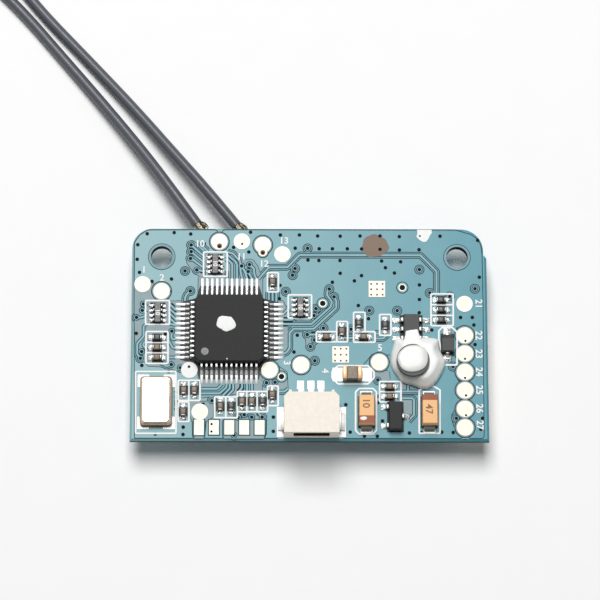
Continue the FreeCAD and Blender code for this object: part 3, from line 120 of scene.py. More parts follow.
@dataclass(frozen=True)
class Finish:
    """One surface finish, with the mottling and the fine relief that the eye reads as its material."""

    name: str
    colour: str
    second: str
    grain: float
    roughness: float
    roughness_spread: float = 0.1
    metallic: float = 0.0
    coat: float = 0.0
    relief: float = 0.0
    alpha: float = 1.0
    subsurface: float = 0.0
    mottle: float = 0.5

    def material(self) -> Material:
        """Build the material, or find it when it is there already.

        Returns:
            A material with noise in its colour, gloss and relief.
        """
        known = bpy.data.materials.get(self.name)
        if known is not None:
            return known
        material, shader, place = new_material(self.name)
        tree = material.node_tree
        noise = add_node(tree, "ShaderNodeTexNoise", {
            "Vector": place, "Scale": 1 / (self.grain * MM), "Detail": 4.0, "Roughness": 0.6})
        share = add_node(tree, "ShaderNodeMapRange", {
            "Value": noise, "From Min": 0.5 - self.mottle, "From Max": 0.5 + self.mottle})
        mix = add_node(tree, "ShaderNodeMix", {
            0: share, 6: linear(self.colour), 7: linear(self.second)}, data_type="RGBA")
        gloss = add_node(tree, "ShaderNodeMapRange", {
            "Value": noise, "From Min": 0.3, "From Max": 0.7,
            "To Min": max(0.02, self.roughness - self.roughness_spread),
            "To Max": min(1.0, self.roughness + self.roughness_spread)})
        tree.links.new(mix.outputs[2], shader.inputs["Base Color"])
        tree.links.new(gloss.outputs["Result"], shader.inputs["Roughness"])
        for socket, value in (
                ("Metallic", self.metallic), ("Coat Weight", self.coat), ("Alpha", self.alpha),
                ("Subsurface Weight", self.subsurface), ("Subsurface Radius", (1.0, 1.0, 1.0)),
                ("Subsurface Scale", SCATTER_DEPTH)):
            shader.inputs[socket].default_value = value
        if self.relief:
            bump = add_node(tree, "ShaderNodeBump", {
                "Height": noise, "Strength": 1.0, "Distance": self.relief * MM})
            tree.links.new(bump.outputs["Normal"], shader.inputs["Normal"])
        return material


@dataclass(frozen=True)
class ShadedMouth(Finish):
    """A housing's finish that turns to brown shade inside the connector's mouth."""

    node: str = "signal_connector_housing"
    shade: str = "#3A2414"
    side: float = 0.93 * MM
    front: float = 0.1 * MM
    back: float = 1.06 * MM
    floor: float = 0.7 * MM
    roof: float = 2.49 * MM

    def material(self) -> Material:
        """Build the material, with its shade between the walls of the mouth.

        Returns:
            The housing's material.
        """
        material = super().material()
        tree = material.node_tree
        socket = tree.nodes["Principled BSDF"].inputs["Base Color"]
        plain = socket.links[0].from_socket
        low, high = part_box(self.node)
        place = add_node(tree, "ShaderNodeTexCoord")
        split = add_node(tree, "ShaderNodeSeparateXYZ", {"Vector": place.outputs["Object"]})
        inside: Node | float = 1.0
        for axis, start, end in (("X", low.x + self.side, high.x - self.side),
                                 ("Y", low.y + self.front, high.y - self.back),
                                 ("Z", low.z + self.floor, low.z + self.roof)):
            near = add_node(tree, "ShaderNodeMath", {
                0: split.outputs[axis], 1: (start + end) / 2, 2: (end - start) / 2}, operation="COMPARE")
            both = add_node(tree, "ShaderNodeMath", {
                0: near, 1: inside}, operation="MULTIPLY")
            inside = both
        mix = add_node(tree, "ShaderNodeMix", {0: inside, 6: plain, 7: linear(self.shade)}, data_type="RGBA")
        tree.links.new(mix.outputs[2], socket)
        return material


@dataclass(frozen=True)
class BoardFinish:
    """The board's own finish: teal solder mask on its faces, paler towards one end with a painted sheen, and
    cut laminate, darkened by painted shade, on its edges.
    """

    name: str = "teal_solder_mask_with_painted_sheen_and_shaded_cut_laminate"
    mask: tuple[str, str] = ("#328495", "#4E9AA7")
    # The pale tint and its largest share are a painted sheen: the lamp's glare in the glossy mask, strongest
    # at the left end.
    painted_sheen: str = "#96BBBE"
    painted_sheen_share: float = 0.7
    # The cut laminate's colour is darkened to near-black: painted shade of the edges and hole walls that face
    # away from the lamp.
    laminate: tuple[str, str] = ("#141514", "#2C2D2A")
    cloud: float = 3.5 * MM
    ply: tuple[float, float, float] = (400.0, 400.0, 9000.0)
    flat: float = 0.5
    cut_roughness: float = 0.85
    mask_roughness: float = 0.45
    ripple: float = 0.9 * MM
    ripple_height: float = 0.01 * MM

    def material(self) -> Material:
        """Build the material of the board, its edges and the walls of its holes.

        Returns:
            Clouded mask, paler towards one end with a painted sheen, where the surface is flat, and layered
            laminate, darkened to near-black by painted shade, elsewhere.
        """
        material, shader, place = new_material(self.name)
        tree = material.node_tree
        cloud = add_node(tree, "ShaderNodeTexNoise", {
            "Vector": place, "Scale": 1 / self.cloud, "Detail": 5.0, "Roughness": 0.55})
        tint = add_node(tree, "ShaderNodeMix", {
            0: cloud, 6: linear(self.mask[0]), 7: linear(self.mask[1])}, data_type="RGBA")
        along = add_node(tree, "ShaderNodeSeparateXYZ", {"Vector": place})
        # Share of the painted sheen, none at the right end and the most at the left end.
        thin = add_node(tree, "ShaderNodeMapRange", {
            "Value": along.outputs["X"], "From Min": BOARD_HIGH.x, "From Max": BOARD_LOW.x,
            "To Min": 0.0, "To Max": self.painted_sheen_share})
        mask = add_node(tree, "ShaderNodeMix", {
            0: thin, 6: tint, 7: linear(self.painted_sheen)}, data_type="RGBA")
        stretch = add_node(tree, "ShaderNodeMapping", {"Vector": place, "Scale": self.ply})
        plies = add_node(tree, "ShaderNodeTexNoise", {
            "Vector": stretch, "Scale": 1.0, "Detail": 3.0})
        cut = add_node(tree, "ShaderNodeMix", {
            0: plies, 6: linear(self.laminate[0]), 7: linear(self.laminate[1])},
            data_type="RGBA")
        facing = add_node(tree, "ShaderNodeNewGeometry")
        split = add_node(tree, "ShaderNodeSeparateXYZ", {"Vector": facing.outputs["True Normal"]})
        upright = add_node(tree, "ShaderNodeMath", {0: split.outputs["Z"]}, operation="ABSOLUTE")
        flat = add_node(tree, "ShaderNodeMath", {
            0: upright, 1: self.flat}, operation="GREATER_THAN")
        both = add_node(tree, "ShaderNodeMix", {
            0: flat, 6: cut, 7: mask}, data_type="RGBA")
        gloss = add_node(tree, "ShaderNodeMapRange", {
            "Value": flat, "To Min": self.cut_roughness, "To Max": self.mask_roughness})
        ripple = add_node(tree, "ShaderNodeTexNoise", {
            "Vector": place, "Scale": 1 / self.ripple, "Detail": 2.0})
        bump = add_node(tree, "ShaderNodeBump", {
            "Height": ripple, "Strength": 1.0, "Distance": self.ripple_height})
        tree.links.new(both.outputs[2], shader.inputs["Base Color"])
        tree.links.new(gloss.outputs["Result"], shader.inputs["Roughness"])
        tree.links.new(bump.outputs["Normal"], shader.inputs["Normal"])
        return material


# Solder mask where there is no copper under it, greyer and duller than on copper.
BARE_LAMINATE = Finish("mask_on_bare_laminate", "#7C9399", "#8BA1A6", 0.8, 0.5, 0.05)
# A narrow gap along a track, too small to look as grey as the open laminate.
NARROW_GAP = Finish("mask_over_narrow_gap", "#6895A0", "#76A2AC", 0.6, 0.5, 0.05)
# The step at a copper edge, where the mask is thin, drawn as a fine dark line that is partly painted shade of
# the step.
COPPER_STEP = Finish("mask_thinned_and_painted_shade_at_copper_edge", "#082C36", "#103A45", 0.5, 0.8, 0.05)
# A track under the mask, a little lighter than the pour round it.
TRACK_COPPER = Finish("mask_on_copper_track", "#6BA5B0", "#78B0BA", 0.6, 0.45, 0.05)
# A plated hole that the mask closes looks nearly black.
VIA_DARK = Finish("plated_hole_in_shade", "#020A0E", "#081216", 0.2, 0.95, 0.0)
# Under a package the mask lies in deep shade, and the gaps between the leads look black.
DEEP_SHADE = Finish("mask_shaded_by_package", "#0E1A1E", "#17262B", 0.3, 0.6)
# Screen-printed ink is matt and not quite even.
SILKSCREEN = Finish("screen_printed_white_ink", "#FFFFFF", "#F1F3F1", 0.12, 0.7, 0.1, relief=0.004)
# Immersion gold is pale and mirrors the white studio.
GOLD = Finish("immersion_gold_plate", "#F2ECDC", "#ECE3CA", 0.5, 0.5, 0.06, metallic=0.2)
# A hole in a pad is drawn as a flat dark brown disc.
PAD_HOLE = Finish("dark_brown_pad_hole", "#5A3420", "#7C4A2C", 0.2, 0.5)
# Molten and set again, tin is bright with soft ripples.
SOLDER = Finish("reflowed_tin_solder", "#EDEEEB", "#D0D2D0", 0.25, 0.24, 0.08, metallic=1.0, relief=0.004)
# Tin levelled on the large pads is even and pale, with hardly a mirror in it.
PAD_SOLDER = Finish("levelled_tin_on_lead_pads", "#D4D5D3", "#A6A8A7", 0.16, 0.4, 0.06, metallic=0.4)
# Hand-made joints of the small parts: bright solder broken up by dark patches, partly flux and partly painted
# reflection of dark surroundings in the steep solder.
FLUX_AND_REFLECTION_SOLDER = Finish("small_solder_joint_with_flux_and_painted_reflection", "#E8E8E6", "#141412", 0.16, 0.35, 0.08, metallic=0.5,
                       mottle=0.09)
# Leads are tin plated and a little duller than solder.
LEAD_TIN = Finish("tin_plated_lead_frame", "#CBCBC8", "#A9AAA8", 0.15, 0.32, 0.08, metallic=0.6)
# The tin on a chip's end caps is dull and dark between its bright fillets; its dark colour is partly painted
# reflection of dark surroundings.
CHIP_TIN = Finish("dull_tin_chip_end_with_painted_dark_reflection", "#8E8F8C", "#5E5F5D", 0.12, 0.34, 0.1, metallic=0.9, relief=0.003)
# Tin of the contact feet, duller than the pads they stand on; their darker colour is partly painted shade
# beside the housing.
CONTACT_TIN = Finish("tin_plated_contact_strip_with_painted_shade", "#A9A69C", "#86837A", 0.15, 0.3, 0.08, metallic=0.7)
# Solder that has crept up the ends of the tantalum capacitors, patchy and greyer than a flat joint.
SOLDER_FILLET = Finish("solder_fillet", "#B4B4AC", "#64645E", 0.12, 0.35, 0.1, metallic=0.6, relief=0.006)
# The tabs beside the housings mirror the lamp and look almost white.
TIN_PLATE = Finish("bright_tin_plate", "#FFFFFD", "#F2F2EF", 0.4, 0.35, 0.06, metallic=0.4, relief=0.002)
# Rolling leaves the shield's sheet a faint unevenness in its mirror.
SHIELD_TIN = Finish("rolled_tin_plate_shield", "#D9DAD8", "#C6C8C7", 0.9, 0.3, 0.08, metallic=1.0,
                    relief=0.004)
# Moulding compound is fine grained, dark grey rather than black.
EPOXY = Finish("moulded_black_epoxy", "#1C1C1D", "#262627", 0.07, 0.72, 0.06, relief=0.004)
# The regulator and the radio packages are blacker and a little glossier.
SMALL_EPOXY = Finish("moulded_small_package_epoxy", "#161718", "#232425", 0.06, 0.66, 0.06, relief=0.004)
# The converter and the diode are moulded in a greyer compound that catches more light.
GREY_EPOXY = Finish("moulded_grey_package_epoxy", "#3C3D3D", "#4C4D4C", 0.08, 0.6, 0.08, relief=0.004)
# The moulded mark of the first pin, smoother and lighter than the compound round it.
PIN_MARK = Finish("moulded_pin_mark", "#6A6A6C", "#7A7A7C", 0.2, 0.45)
# Near-black ink, darker than the diode's grey body.
DIODE_BAND = Finish("dark_polarity_print", "#161718", "#1E1F20", 0.15, 0.6)
# Fired ceramic of the crystal's base with its gold-brown rim.
CRYSTAL_BASE = Finish("brown_fired_ceramic", "#74552F", "#A07F4F", 0.3, 0.38, 0.08, relief=0.004)
# A nickel lid mirrors the studio and looks nearly white.
NICKEL_LID = Finish("seam_welded_nickel_lid", "#F7EFE0", "#EFE4D0", 0.8, 0.3, 0.05, metallic=0.75)
# Layered brown ceramic of a small capacitor.
CHIP_CAPACITOR = Finish("sintered_capacitor_ceramic", "#8B7A66", "#6F604F", 0.2, 0.45)
# The large capacitor's ends are copper rich and peach coloured.
CAPACITOR_END = Finish("copper_rich_capacitor_end", "#E9C09A", "#DCAA80", 0.2, 0.4, metallic=0.3)
# Black glaze over a resistor's film.
CHIP_RESISTOR = Finish("black_glass_glaze", "#232426", "#37383A", 0.2, 0.35)
# Orange-yellow moulded epoxy with a satin gloss.
TANTALUM = Finish("orange_tantalum_epoxy", "#F0B06C", "#F7C68C", 0.3, 0.5, 0.08, relief=0.006)
# Rust brown ink of the polarity band, a little less glossy than the case.
TANTALUM_BAND = Finish("brown_polarity_print", "#8A4420", "#A8592C", 0.15, 0.55)
# Numbers in thin brown-grey ink, paler than the band.
TANTALUM_INK = Finish("brown_grey_print_on_tantalum", "#8C6238", "#9A7046", 0.12, 0.6)
# Drum core pressed from ferrite powder.
FERRITE = Finish("pressed_grey_ferrite", "#4A4B4E", "#5C5D60", 0.1, 0.6, relief=0.01)
# Clear enamel lets the wire shine red-brown.
COPPER_WIRE = Finish("enamelled_copper_winding", "#8C4A24", "#B0693A", 0.1, 0.3, metallic=0.9)
# Neutral-cure silicone is milky, with a soft waxy gloss.
SILICONE = Finish("cured_white_silicone", "#FEFFFC", "#F6F8F5", 1.2, 0.42, 0.08, coat=0.1, relief=0.03,
                  subsurface=0.05)
# The drop on top has flowed out and is glossier than the skirt.
SILICONE_CAP = Finish("glossy_silicone_drop", "#E6E7E3", "#DADCD8", 0.9, 0.3, 0.05, coat=0.15, relief=0.03)
# Connector housing in glass-filled nylon, warm ivory.
NYLON = Finish("ivory_glass_filled_nylon", "#F6EEE2", "#F0E6D6", 0.35, 0.5, 0.08, relief=0.006)
# The same nylon, brown in the shade between the walls of its mouth.
MOUTH_NYLON = ShadedMouth("ivory_nylon_shaded_in_mouth", "#F6EEE2", "#F0E6D6", 0.35, 0.5, 0.08, relief=0.006)
# Fluoropolymer jacket, slate grey with a faint sheen.
JACKET = Finish("slate_grey_fluoropolymer_jacket", "#4F5258", "#5C6067", 0.25, 0.38, 0.08, relief=0.006)
# Fine tinned wires that glint between dull gaps.
BRAID = Finish("tinned_copper_braid", "#A59C88", "#5E574A", 0.12, 0.35, metallic=1.0, relief=0.02)
# The bare core is smooth and cloudy white.
DIELECTRIC = Finish("clear_white_dielectric", "#E4E8E8", "#D6DCDC", 0.3, 0.25)
# Cleaning left an uneven brown flux stain that the mask shows through.
FLUX_STAIN = Finish("brown_flux_stain", "#6E5848", "#A88C78", 0.16, 0.6, 0.1, alpha=0.84)
# Marker paint is thick, matt and a little lumpy.
WHITE_PAINT = Finish("dabbed_white_marker_paint", "#FBFCFA", "#ECEFEC", 0.3, 0.6, 0.1, relief=0.02)
# Matt paper that only shows the shadow.
PAPER = Finish("seamless_white_paper", "#FDFDFD", "#FBFBFB", 4.0, 0.9)


# Geometry helpers

def linked(name: str, data: bpy.types.ID) -> Object:
    """Link an object to the scene.

    Args:
        name: The object's name.
        data: Its mesh, curve, camera or light.

    Returns:
        The new object, at the origin.
    """
    made = bpy.data.objects.new(name, data)
    bpy.context.scene.collection.objects.link(made)
    return made


def new_piece(name: str, data: Mesh | Curve, finish: Finish) -> Object:
    """Link a mesh or a curve to the scene as a piece that rides on the receiver.

    Args:
        name: The piece's name.
        data: Its form, in the frame's own place.
        finish: The finish of its whole surface.

    Returns:
        The new piece.
    """
    piece = linked(name, data)
    data.materials.clear()
    data.materials.append(finish.material())
    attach(piece, BODY)
    return piece


def applied(host: Object) -> Mesh:
    """Evaluate an object's modifiers into a plain mesh and remove the object.

    Args:
        host: The object that carries the modifiers.

    Returns:
        A mesh of its own.
    """
    bpy.context.view_layer.update()
    graph = bpy.context.evaluated_depsgraph_get()
    mesh = bpy.data.meshes.new_from_object(host.evaluated_get(graph), depsgraph=graph)
    bpy.data.objects.remove(host)
    return mesh


def written(work: bmesh.types.BMesh, mesh: Mesh) -> Mesh:
    """Write an edited mesh back and free the work copy.

    Args:
        work: The work copy.
        mesh: The mesh that takes its form.

    Returns:
        The same mesh.
    """
    work.to_mesh(mesh)
    work.free()
    return mesh


def run_tree(name: str, mesh: Mesh, tree: NodeTree, inputs: dict) -> Mesh:
    """Run a Geometry Nodes tree on a mesh of points or edges.

    Args:
        name: Name of the host object.
        mesh: Points or edges that the tree works from.
        tree: The tree.
        inputs: Values by the names of the tree's own inputs.

    Returns:
        The tree's result as a plain mesh.
    """
    host = linked(name, mesh)
    modifier = host.modifiers.new("nodes", "NODES")
    modifier.node_group = tree
    for item in tree.interface.items_tree:
        if item.item_type == "SOCKET" and item.in_out == "INPUT" and item.name in inputs:
            modifier[item.identifier] = inputs[item.name]
    return applied(host)


def new_tree(name: str, sockets: dict[str, str]) -> tuple[NodeTree, Node]:
    """Start a Geometry Nodes tree with named inputs.

    Args:
        name: The tree's name.
        sockets: Each further input's name and socket type.

    Returns:
        The tree and its input node.
    """
    tree = bpy.data.node_groups.new(name, "GeometryNodeTree")
    tree.interface.new_socket("Geometry", in_out="INPUT", socket_type="NodeSocketGeometry")
    for label, kind in sockets.items():
        tree.interface.new_socket(label, in_out="INPUT", socket_type=kind)
    tree.interface.new_socket("Geometry", in_out="OUTPUT", socket_type="NodeSocketGeometry")
    return tree, add_node(tree, "NodeGroupInput")


def close_tree(tree: NodeTree, shape: Node, source: Node) -> None:
    """End a tree in Realize Instances and Set Material.

    Args:
        tree: The tree to end.
        shape: The node that makes its geometry.
        source: Its input node, which has a Material input.
    """
    real = add_node(tree, "GeometryNodeRealizeInstances", {"Geometry": shape})
    dressed = add_node(tree, "GeometryNodeSetMaterial", {
        "Geometry": real, "Material": source.outputs["Material"]})
    add_node(tree, "NodeGroupOutput", {"Geometry": dressed})


def strip_tree() -> NodeTree:
    """Build the tree that lays a flat strip with rounded corners along each line of edges.

    Returns:
        A tree with inputs Width, Corner and Material.
    """
    tree, source = new_tree("flat_strip_along_lines", {
        "Width": "NodeSocketFloat", "Corner": "NodeSocketFloat", "Material": "NodeSocketMaterial"})
    lines = add_node(tree, "GeometryNodeMeshToCurve", {"Mesh": source.outputs["Geometry"]})
    round_corners = add_node(tree, "GeometryNodeFilletCurve", {
        "Curve": lines, "Count": 4, "Radius": source.outputs["Corner"],
        "Limit Radius": True}, mode="POLY")
    upright = add_node(tree, "GeometryNodeSetCurveNormal", {
        "Curve": round_corners}, mode="Z_UP")
    half = add_node(tree, "ShaderNodeMath", {0: source.outputs["Width"], 1: 0.5}, operation="MULTIPLY")
    other = add_node(tree, "ShaderNodeMath", {0: half, 1: -1.0}, operation="MULTIPLY")
    left = add_node(tree, "ShaderNodeCombineXYZ", {"X": other})
    right = add_node(tree, "ShaderNodeCombineXYZ", {"X": half})
    section = add_node(tree, "GeometryNodeCurvePrimitiveLine", {
        "Start": left, "End": right})
    strip = add_node(tree, "GeometryNodeCurveToMesh", {
        "Curve": upright, "Profile Curve": section})
    close_tree(tree, strip, source)
    return tree


def disc_tree() -> NodeTree:
    """Build the tree that puts a flat round disc on each point.

    Returns:
        A tree with inputs Radius, Sides and Material.
    """
    tree, source = new_tree("flat_disc_on_points", {
        "Radius": "NodeSocketFloat", "Sides": "NodeSocketInt", "Material": "NodeSocketMaterial"})
    disc = add_node(tree, "GeometryNodeMeshCircle", {
        "Vertices": source.outputs["Sides"], "Radius": source.outputs["Radius"]}, fill_type="NGON")
    copies = add_node(tree, "GeometryNodeInstanceOnPoints", {
        "Points": source.outputs["Geometry"], "Instance": disc})
    close_tree(tree, copies, source)
    return tree


def parts_of(node: str) -> list[tuple[Vector, Vector, int]]:
    """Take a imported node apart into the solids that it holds.

    Args:
        node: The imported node.

    Returns:
        Each solid's lowest and highest corner and the number of its vertices.
    """
    work = bmesh.new()
    work.from_mesh(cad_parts[node].data)
    bmesh.ops.remove_doubles(work, verts=work.verts, dist=WELD)
    work.verts.ensure_lookup_table()
    seen, found = set(), []
    for first in work.verts:
        if first.index in seen:
            continue
        seen.add(first.index)
        island, edge = [], [first]
        while edge:
            vertex = edge.pop()
            island.append(vertex.co.copy())
            for link in vertex.link_edges:
                other = link.other_vert(vertex)
                if other.index not in seen:
                    seen.add(other.index)
                    edge.append(other)
        low, high = (Vector([pick(place[axis] for place in island) for axis in range(3)])
                     for pick in (min, max))
        found.append((low, high, len(island)))
    work.free()
    return found


def facing_up(mesh: Mesh) -> Mesh:
    """Turn every face of a flat sheet so that its normal points up.

    Args:
        mesh: The sheet.

    Returns:
        The same mesh.
    """
    work = bmesh.new()
    work.from_mesh(mesh)
    work.normal_update()
    bmesh.ops.reverse_faces(work, faces=[face for face in work.faces if face.normal.z < 0])
    return written(work, mesh)


def lofted(name: str, solids: list[list[list[Vector]]]) -> Mesh:
    """Join closed rings of points into solids with flat ends.

    Args:
        name: The mesh's name.
        solids: For each solid its rings, all with as many points.

    Returns:
        The mesh, with its normals outward.
    """
    work = bmesh.new()
    for rings in solids:
        loops = [[work.verts.new(point) for point in ring] for ring in rings]
        for lower, upper in zip(loops, loops[1:]):
            for k in range(len(lower)):
                work.faces.new((lower[k - 1], lower[k], upper[k], upper[k - 1]))
        work.faces.new(loops[0])
        work.faces.new(loops[-1])
    bmesh.ops.recalc_face_normals(work, faces=work.faces)
    return written(work, bpy.data.meshes.new(name))


def round_strands(name: str, lines: list[list[Vector]], diameter: float, facets: int, steps: int) -> Curve:
    """Make smooth round strands, each along its own control points.

    Args:
        name: The curve's name.
        lines: Each strand's control points.
        diameter: Their diameter.
        facets: Fineness of the round section.
        steps: Steps from one control point to the next.

    Returns:
        One curve with a spline for each strand.
    """
    curve = bpy.data.curves.new(name, "CURVE")
    curve.dimensions = "3D"
    curve.bevel_depth = diameter / 2
    curve.bevel_resolution = facets
    curve.resolution_u = steps
    curve.use_fill_caps = True
    for points in lines:
        spline = curve.splines.new("NURBS")
        spline.points.add(len(points) - 1)
        for place, point in zip(spline.points, points):
            place.co = (*point, 1.0)
        spline.order_u = 3
        spline.use_endpoint_u = True
    return curve


def rounded_copy(node: str, finish: Finish, bevel: float) -> Object:
    """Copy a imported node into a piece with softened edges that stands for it.

    Args:
        node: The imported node.
        finish: Its finish.
        bevel: Width of the softened edge in millimetres, or 0 to leave round forms as they are.

    Returns:
        The new piece.
    """
    work = bmesh.new()
    work.from_mesh(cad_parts[node].data)
    bmesh.ops.remove_doubles(work, verts=work.verts, dist=WELD)
    bmesh.ops.dissolve_limit(work, angle_limit=math.radians(1.0), verts=work.verts, edges=work.edges)
    bmesh.ops.recalc_face_normals(work, faces=work.faces)
    host = linked(node, written(work, bpy.data.meshes.new(node)))
    host.data.shade_smooth()
    if bevel:
        soften = host.modifiers.new("soften", "BEVEL")
        soften.width = bevel * MM
        soften.segments = 2
        soften.limit_method = "ANGLE"
        soften.angle_limit = math.radians(30)
    else:
        host.data.set_sharp_from_angle(angle=math.radians(40))
    host.modifiers.new("even_shading", "WEIGHTED_NORMAL").keep_sharp = True
    piece = new_piece(f"{node}_piece", applied(host), finish)
    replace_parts(piece, node)
    return piece


def sculpted_copy(node: str, finish: Finish, grid: float, passes: int) -> None:
    """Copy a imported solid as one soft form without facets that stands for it.

    Args:
        node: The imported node.
        finish: Its finish.
        grid: Size of the new mesh's cells in millimetres.
        passes: How often the surface is smoothed.
    """
    host = linked(node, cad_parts[node].data.copy())
    remesh = host.modifiers.new("even_cells", "REMESH")
    remesh.mode = "VOXEL"
    remesh.voxel_size = grid * MM
    remesh.use_smooth_shade = True
    smooth = host.modifiers.new("flow", "SMOOTH")
    smooth.factor = 0.5
    smooth.iterations = passes
    piece = new_piece(f"{node}_piece", applied(host), finish)
    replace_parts(piece, node)


# The view

@dataclass(frozen=True)
class Viewpoint:
    """Where the photograph was taken from, measured from the middle of the board's upper face."""

    focal_pixels: float = 2693.2
    tilt: float = 0.241196
    lean: float = 0.0089274
    distance: float = 271.78 * MM
    shift_right: float = 0.953 * MM
    shift_up: float = -3.405 * MM

    def axes(self) -> Matrix:
        """Work out the camera's own axes.

        Returns:
            A matrix whose rows are its right, up and backward directions.
        """
        lean_cos, lean_sin = math.cos(self.lean), math.sin(self.lean)
        tilt_cos, tilt_sin = math.cos(self.tilt), math.sin(self.tilt)
        return Matrix((
            (lean_cos, 0.0, lean_sin),
            (-tilt_sin * lean_sin, tilt_cos, tilt_sin * lean_cos),
            (-tilt_cos * lean_sin, -tilt_sin, tilt_cos * lean_cos)))

    def location(self) -> Vector:
        """Work out where the camera stands in the frame."""
        offset = Vector((self.shift_right, self.shift_up, -self.distance))
        return self.axes().transposed() @ -offset + Vector((0, 0, BOARD_TOP))

    def on_board(self, pixel: Pixel, height: float = 0.0) -> Vector:
        """Follow a pixel of the photograph down to a level above the board.

        Args:
            pixel: Column and row in the photograph.
            height: The level above the board's upper face.

        Returns:
            The point that the pixel shows there.
        """
        middle = FRAME_PIXELS / 2
        across = (pixel[0] - middle) / self.focal_pixels
        up = (middle - pixel[1]) / self.focal_pixels
        ray = self.axes().transposed() @ Vector((across, up, -1.0))
        start = self.location()
        return start + ray * ((BOARD_TOP + height - start.z) / ray.z)


VIEW = Viewpoint()


@dataclass(frozen=True)
class Studio:
    """A white floor, a soft panel behind the receiver, a weak fill and the camera."""

    floor_size: float = 4.0
    ambient: float = 0.15
    key_power: float = 3.98
    key_width: float = 0.28
    key_depth: float = 0.4
    key_place: tuple[float, float, float] = (-0.04, 0.23, 0.6)
    nearest: float = 0.01
    farthest: float = 20.0

    def build(self) -> None:
        """Set the whole studio up."""
        self.build_camera()
        self.build_floor()
        self.build_lights()

    def build_camera(self) -> None:
        """Put the camera where the photograph was taken from."""
        data = bpy.data.cameras.new("camera")
        data.sensor_width = SENSOR_MM
        data.lens = SENSOR_MM * VIEW.focal_pixels / FRAME_PIXELS
        data.clip_start = self.nearest
        data.clip_end = self.farthest
        camera = linked("camera", data)
        camera.matrix_world = Matrix.Translation(VIEW.location()) @ VIEW.axes().transposed().to_4x4()
        bpy.context.scene.camera = camera
        bpy.context.scene.view_settings.view_transform = "Standard"

    def build_floor(self) -> None:
        """Lay the plain floor that the receiver stands on."""
        half = self.floor_size / 2
        mesh = bpy.data.meshes.new("floor")
        mesh.from_pydata([(-half, -half, 0), (half, -half, 0), (half, half, 0), (-half, half, 0)], [],
                         [(0, 1, 2, 3)])
        mesh.materials.append(PAPER.material())
        linked("floor", mesh)

    def build_lights(self) -> None:
        """Hang the soft panel and set the even light of the room."""
        world = bpy.data.worlds.new("room")
        world.use_nodes = True
        room = world.node_tree.nodes["Background"]
        room.inputs["Color"].default_value = (1.0, 1.0, 1.0, 1.0)
        room.inputs["Strength"].default_value = self.ambient
        bpy.context.scene.world = world
        data = bpy.data.lights.new("key", "AREA")
        data.shape = "RECTANGLE"
        data.size = self.key_width
        data.size_y = self.key_depth
        data.energy = self.key_power
        key = linked("key", data)
        key.location = Vector(self.key_place)
        key.rotation_euler = Vector(self.key_place).to_track_quat("Z", "Y").to_euler()


# Antenna leads

FIRST_ROUTE = [
    (-11.5, 11.85, 2.45), (-14.0, 15.35, 2.45), (-16.8, 19.3, 1.8), (-20.95, 24.6, 1.05),
    (-25.8, 30.4, 0.62), (-30.2, 35.6, 0.6), (-34.3, 39.6, 0.6),
]
SECOND_ROUTE = [
    (-7.44, 11.68, 2.45), (-10.4, 15.35, 2.45), (-13.8, 19.4, 1.8), (-18.3, 24.8, 1.05),
    (-23.3, 30.3, 0.62), (-28.2, 35.5, 0.6), (-31.6, 39.9, 0.6),
]
# Where a loose strand may start, end and bulge, from the jacket's end, in millimetres
STRAND_START = ((0.05, 0.45), (-0.05, 0.25), (-0.1, 0.3))
STRAND_END = ((0.7, 1.2), (-0.55, -0.25), (-0.35, 0.3))
STRAND_BULGE = ((-0.05, 0.4), (0.1, 0.45), (-0.1, 0.25))


class Turn(Enum):
    """Which way a coil winds, seen from above."""

    LEFT = 1
    RIGHT = -1


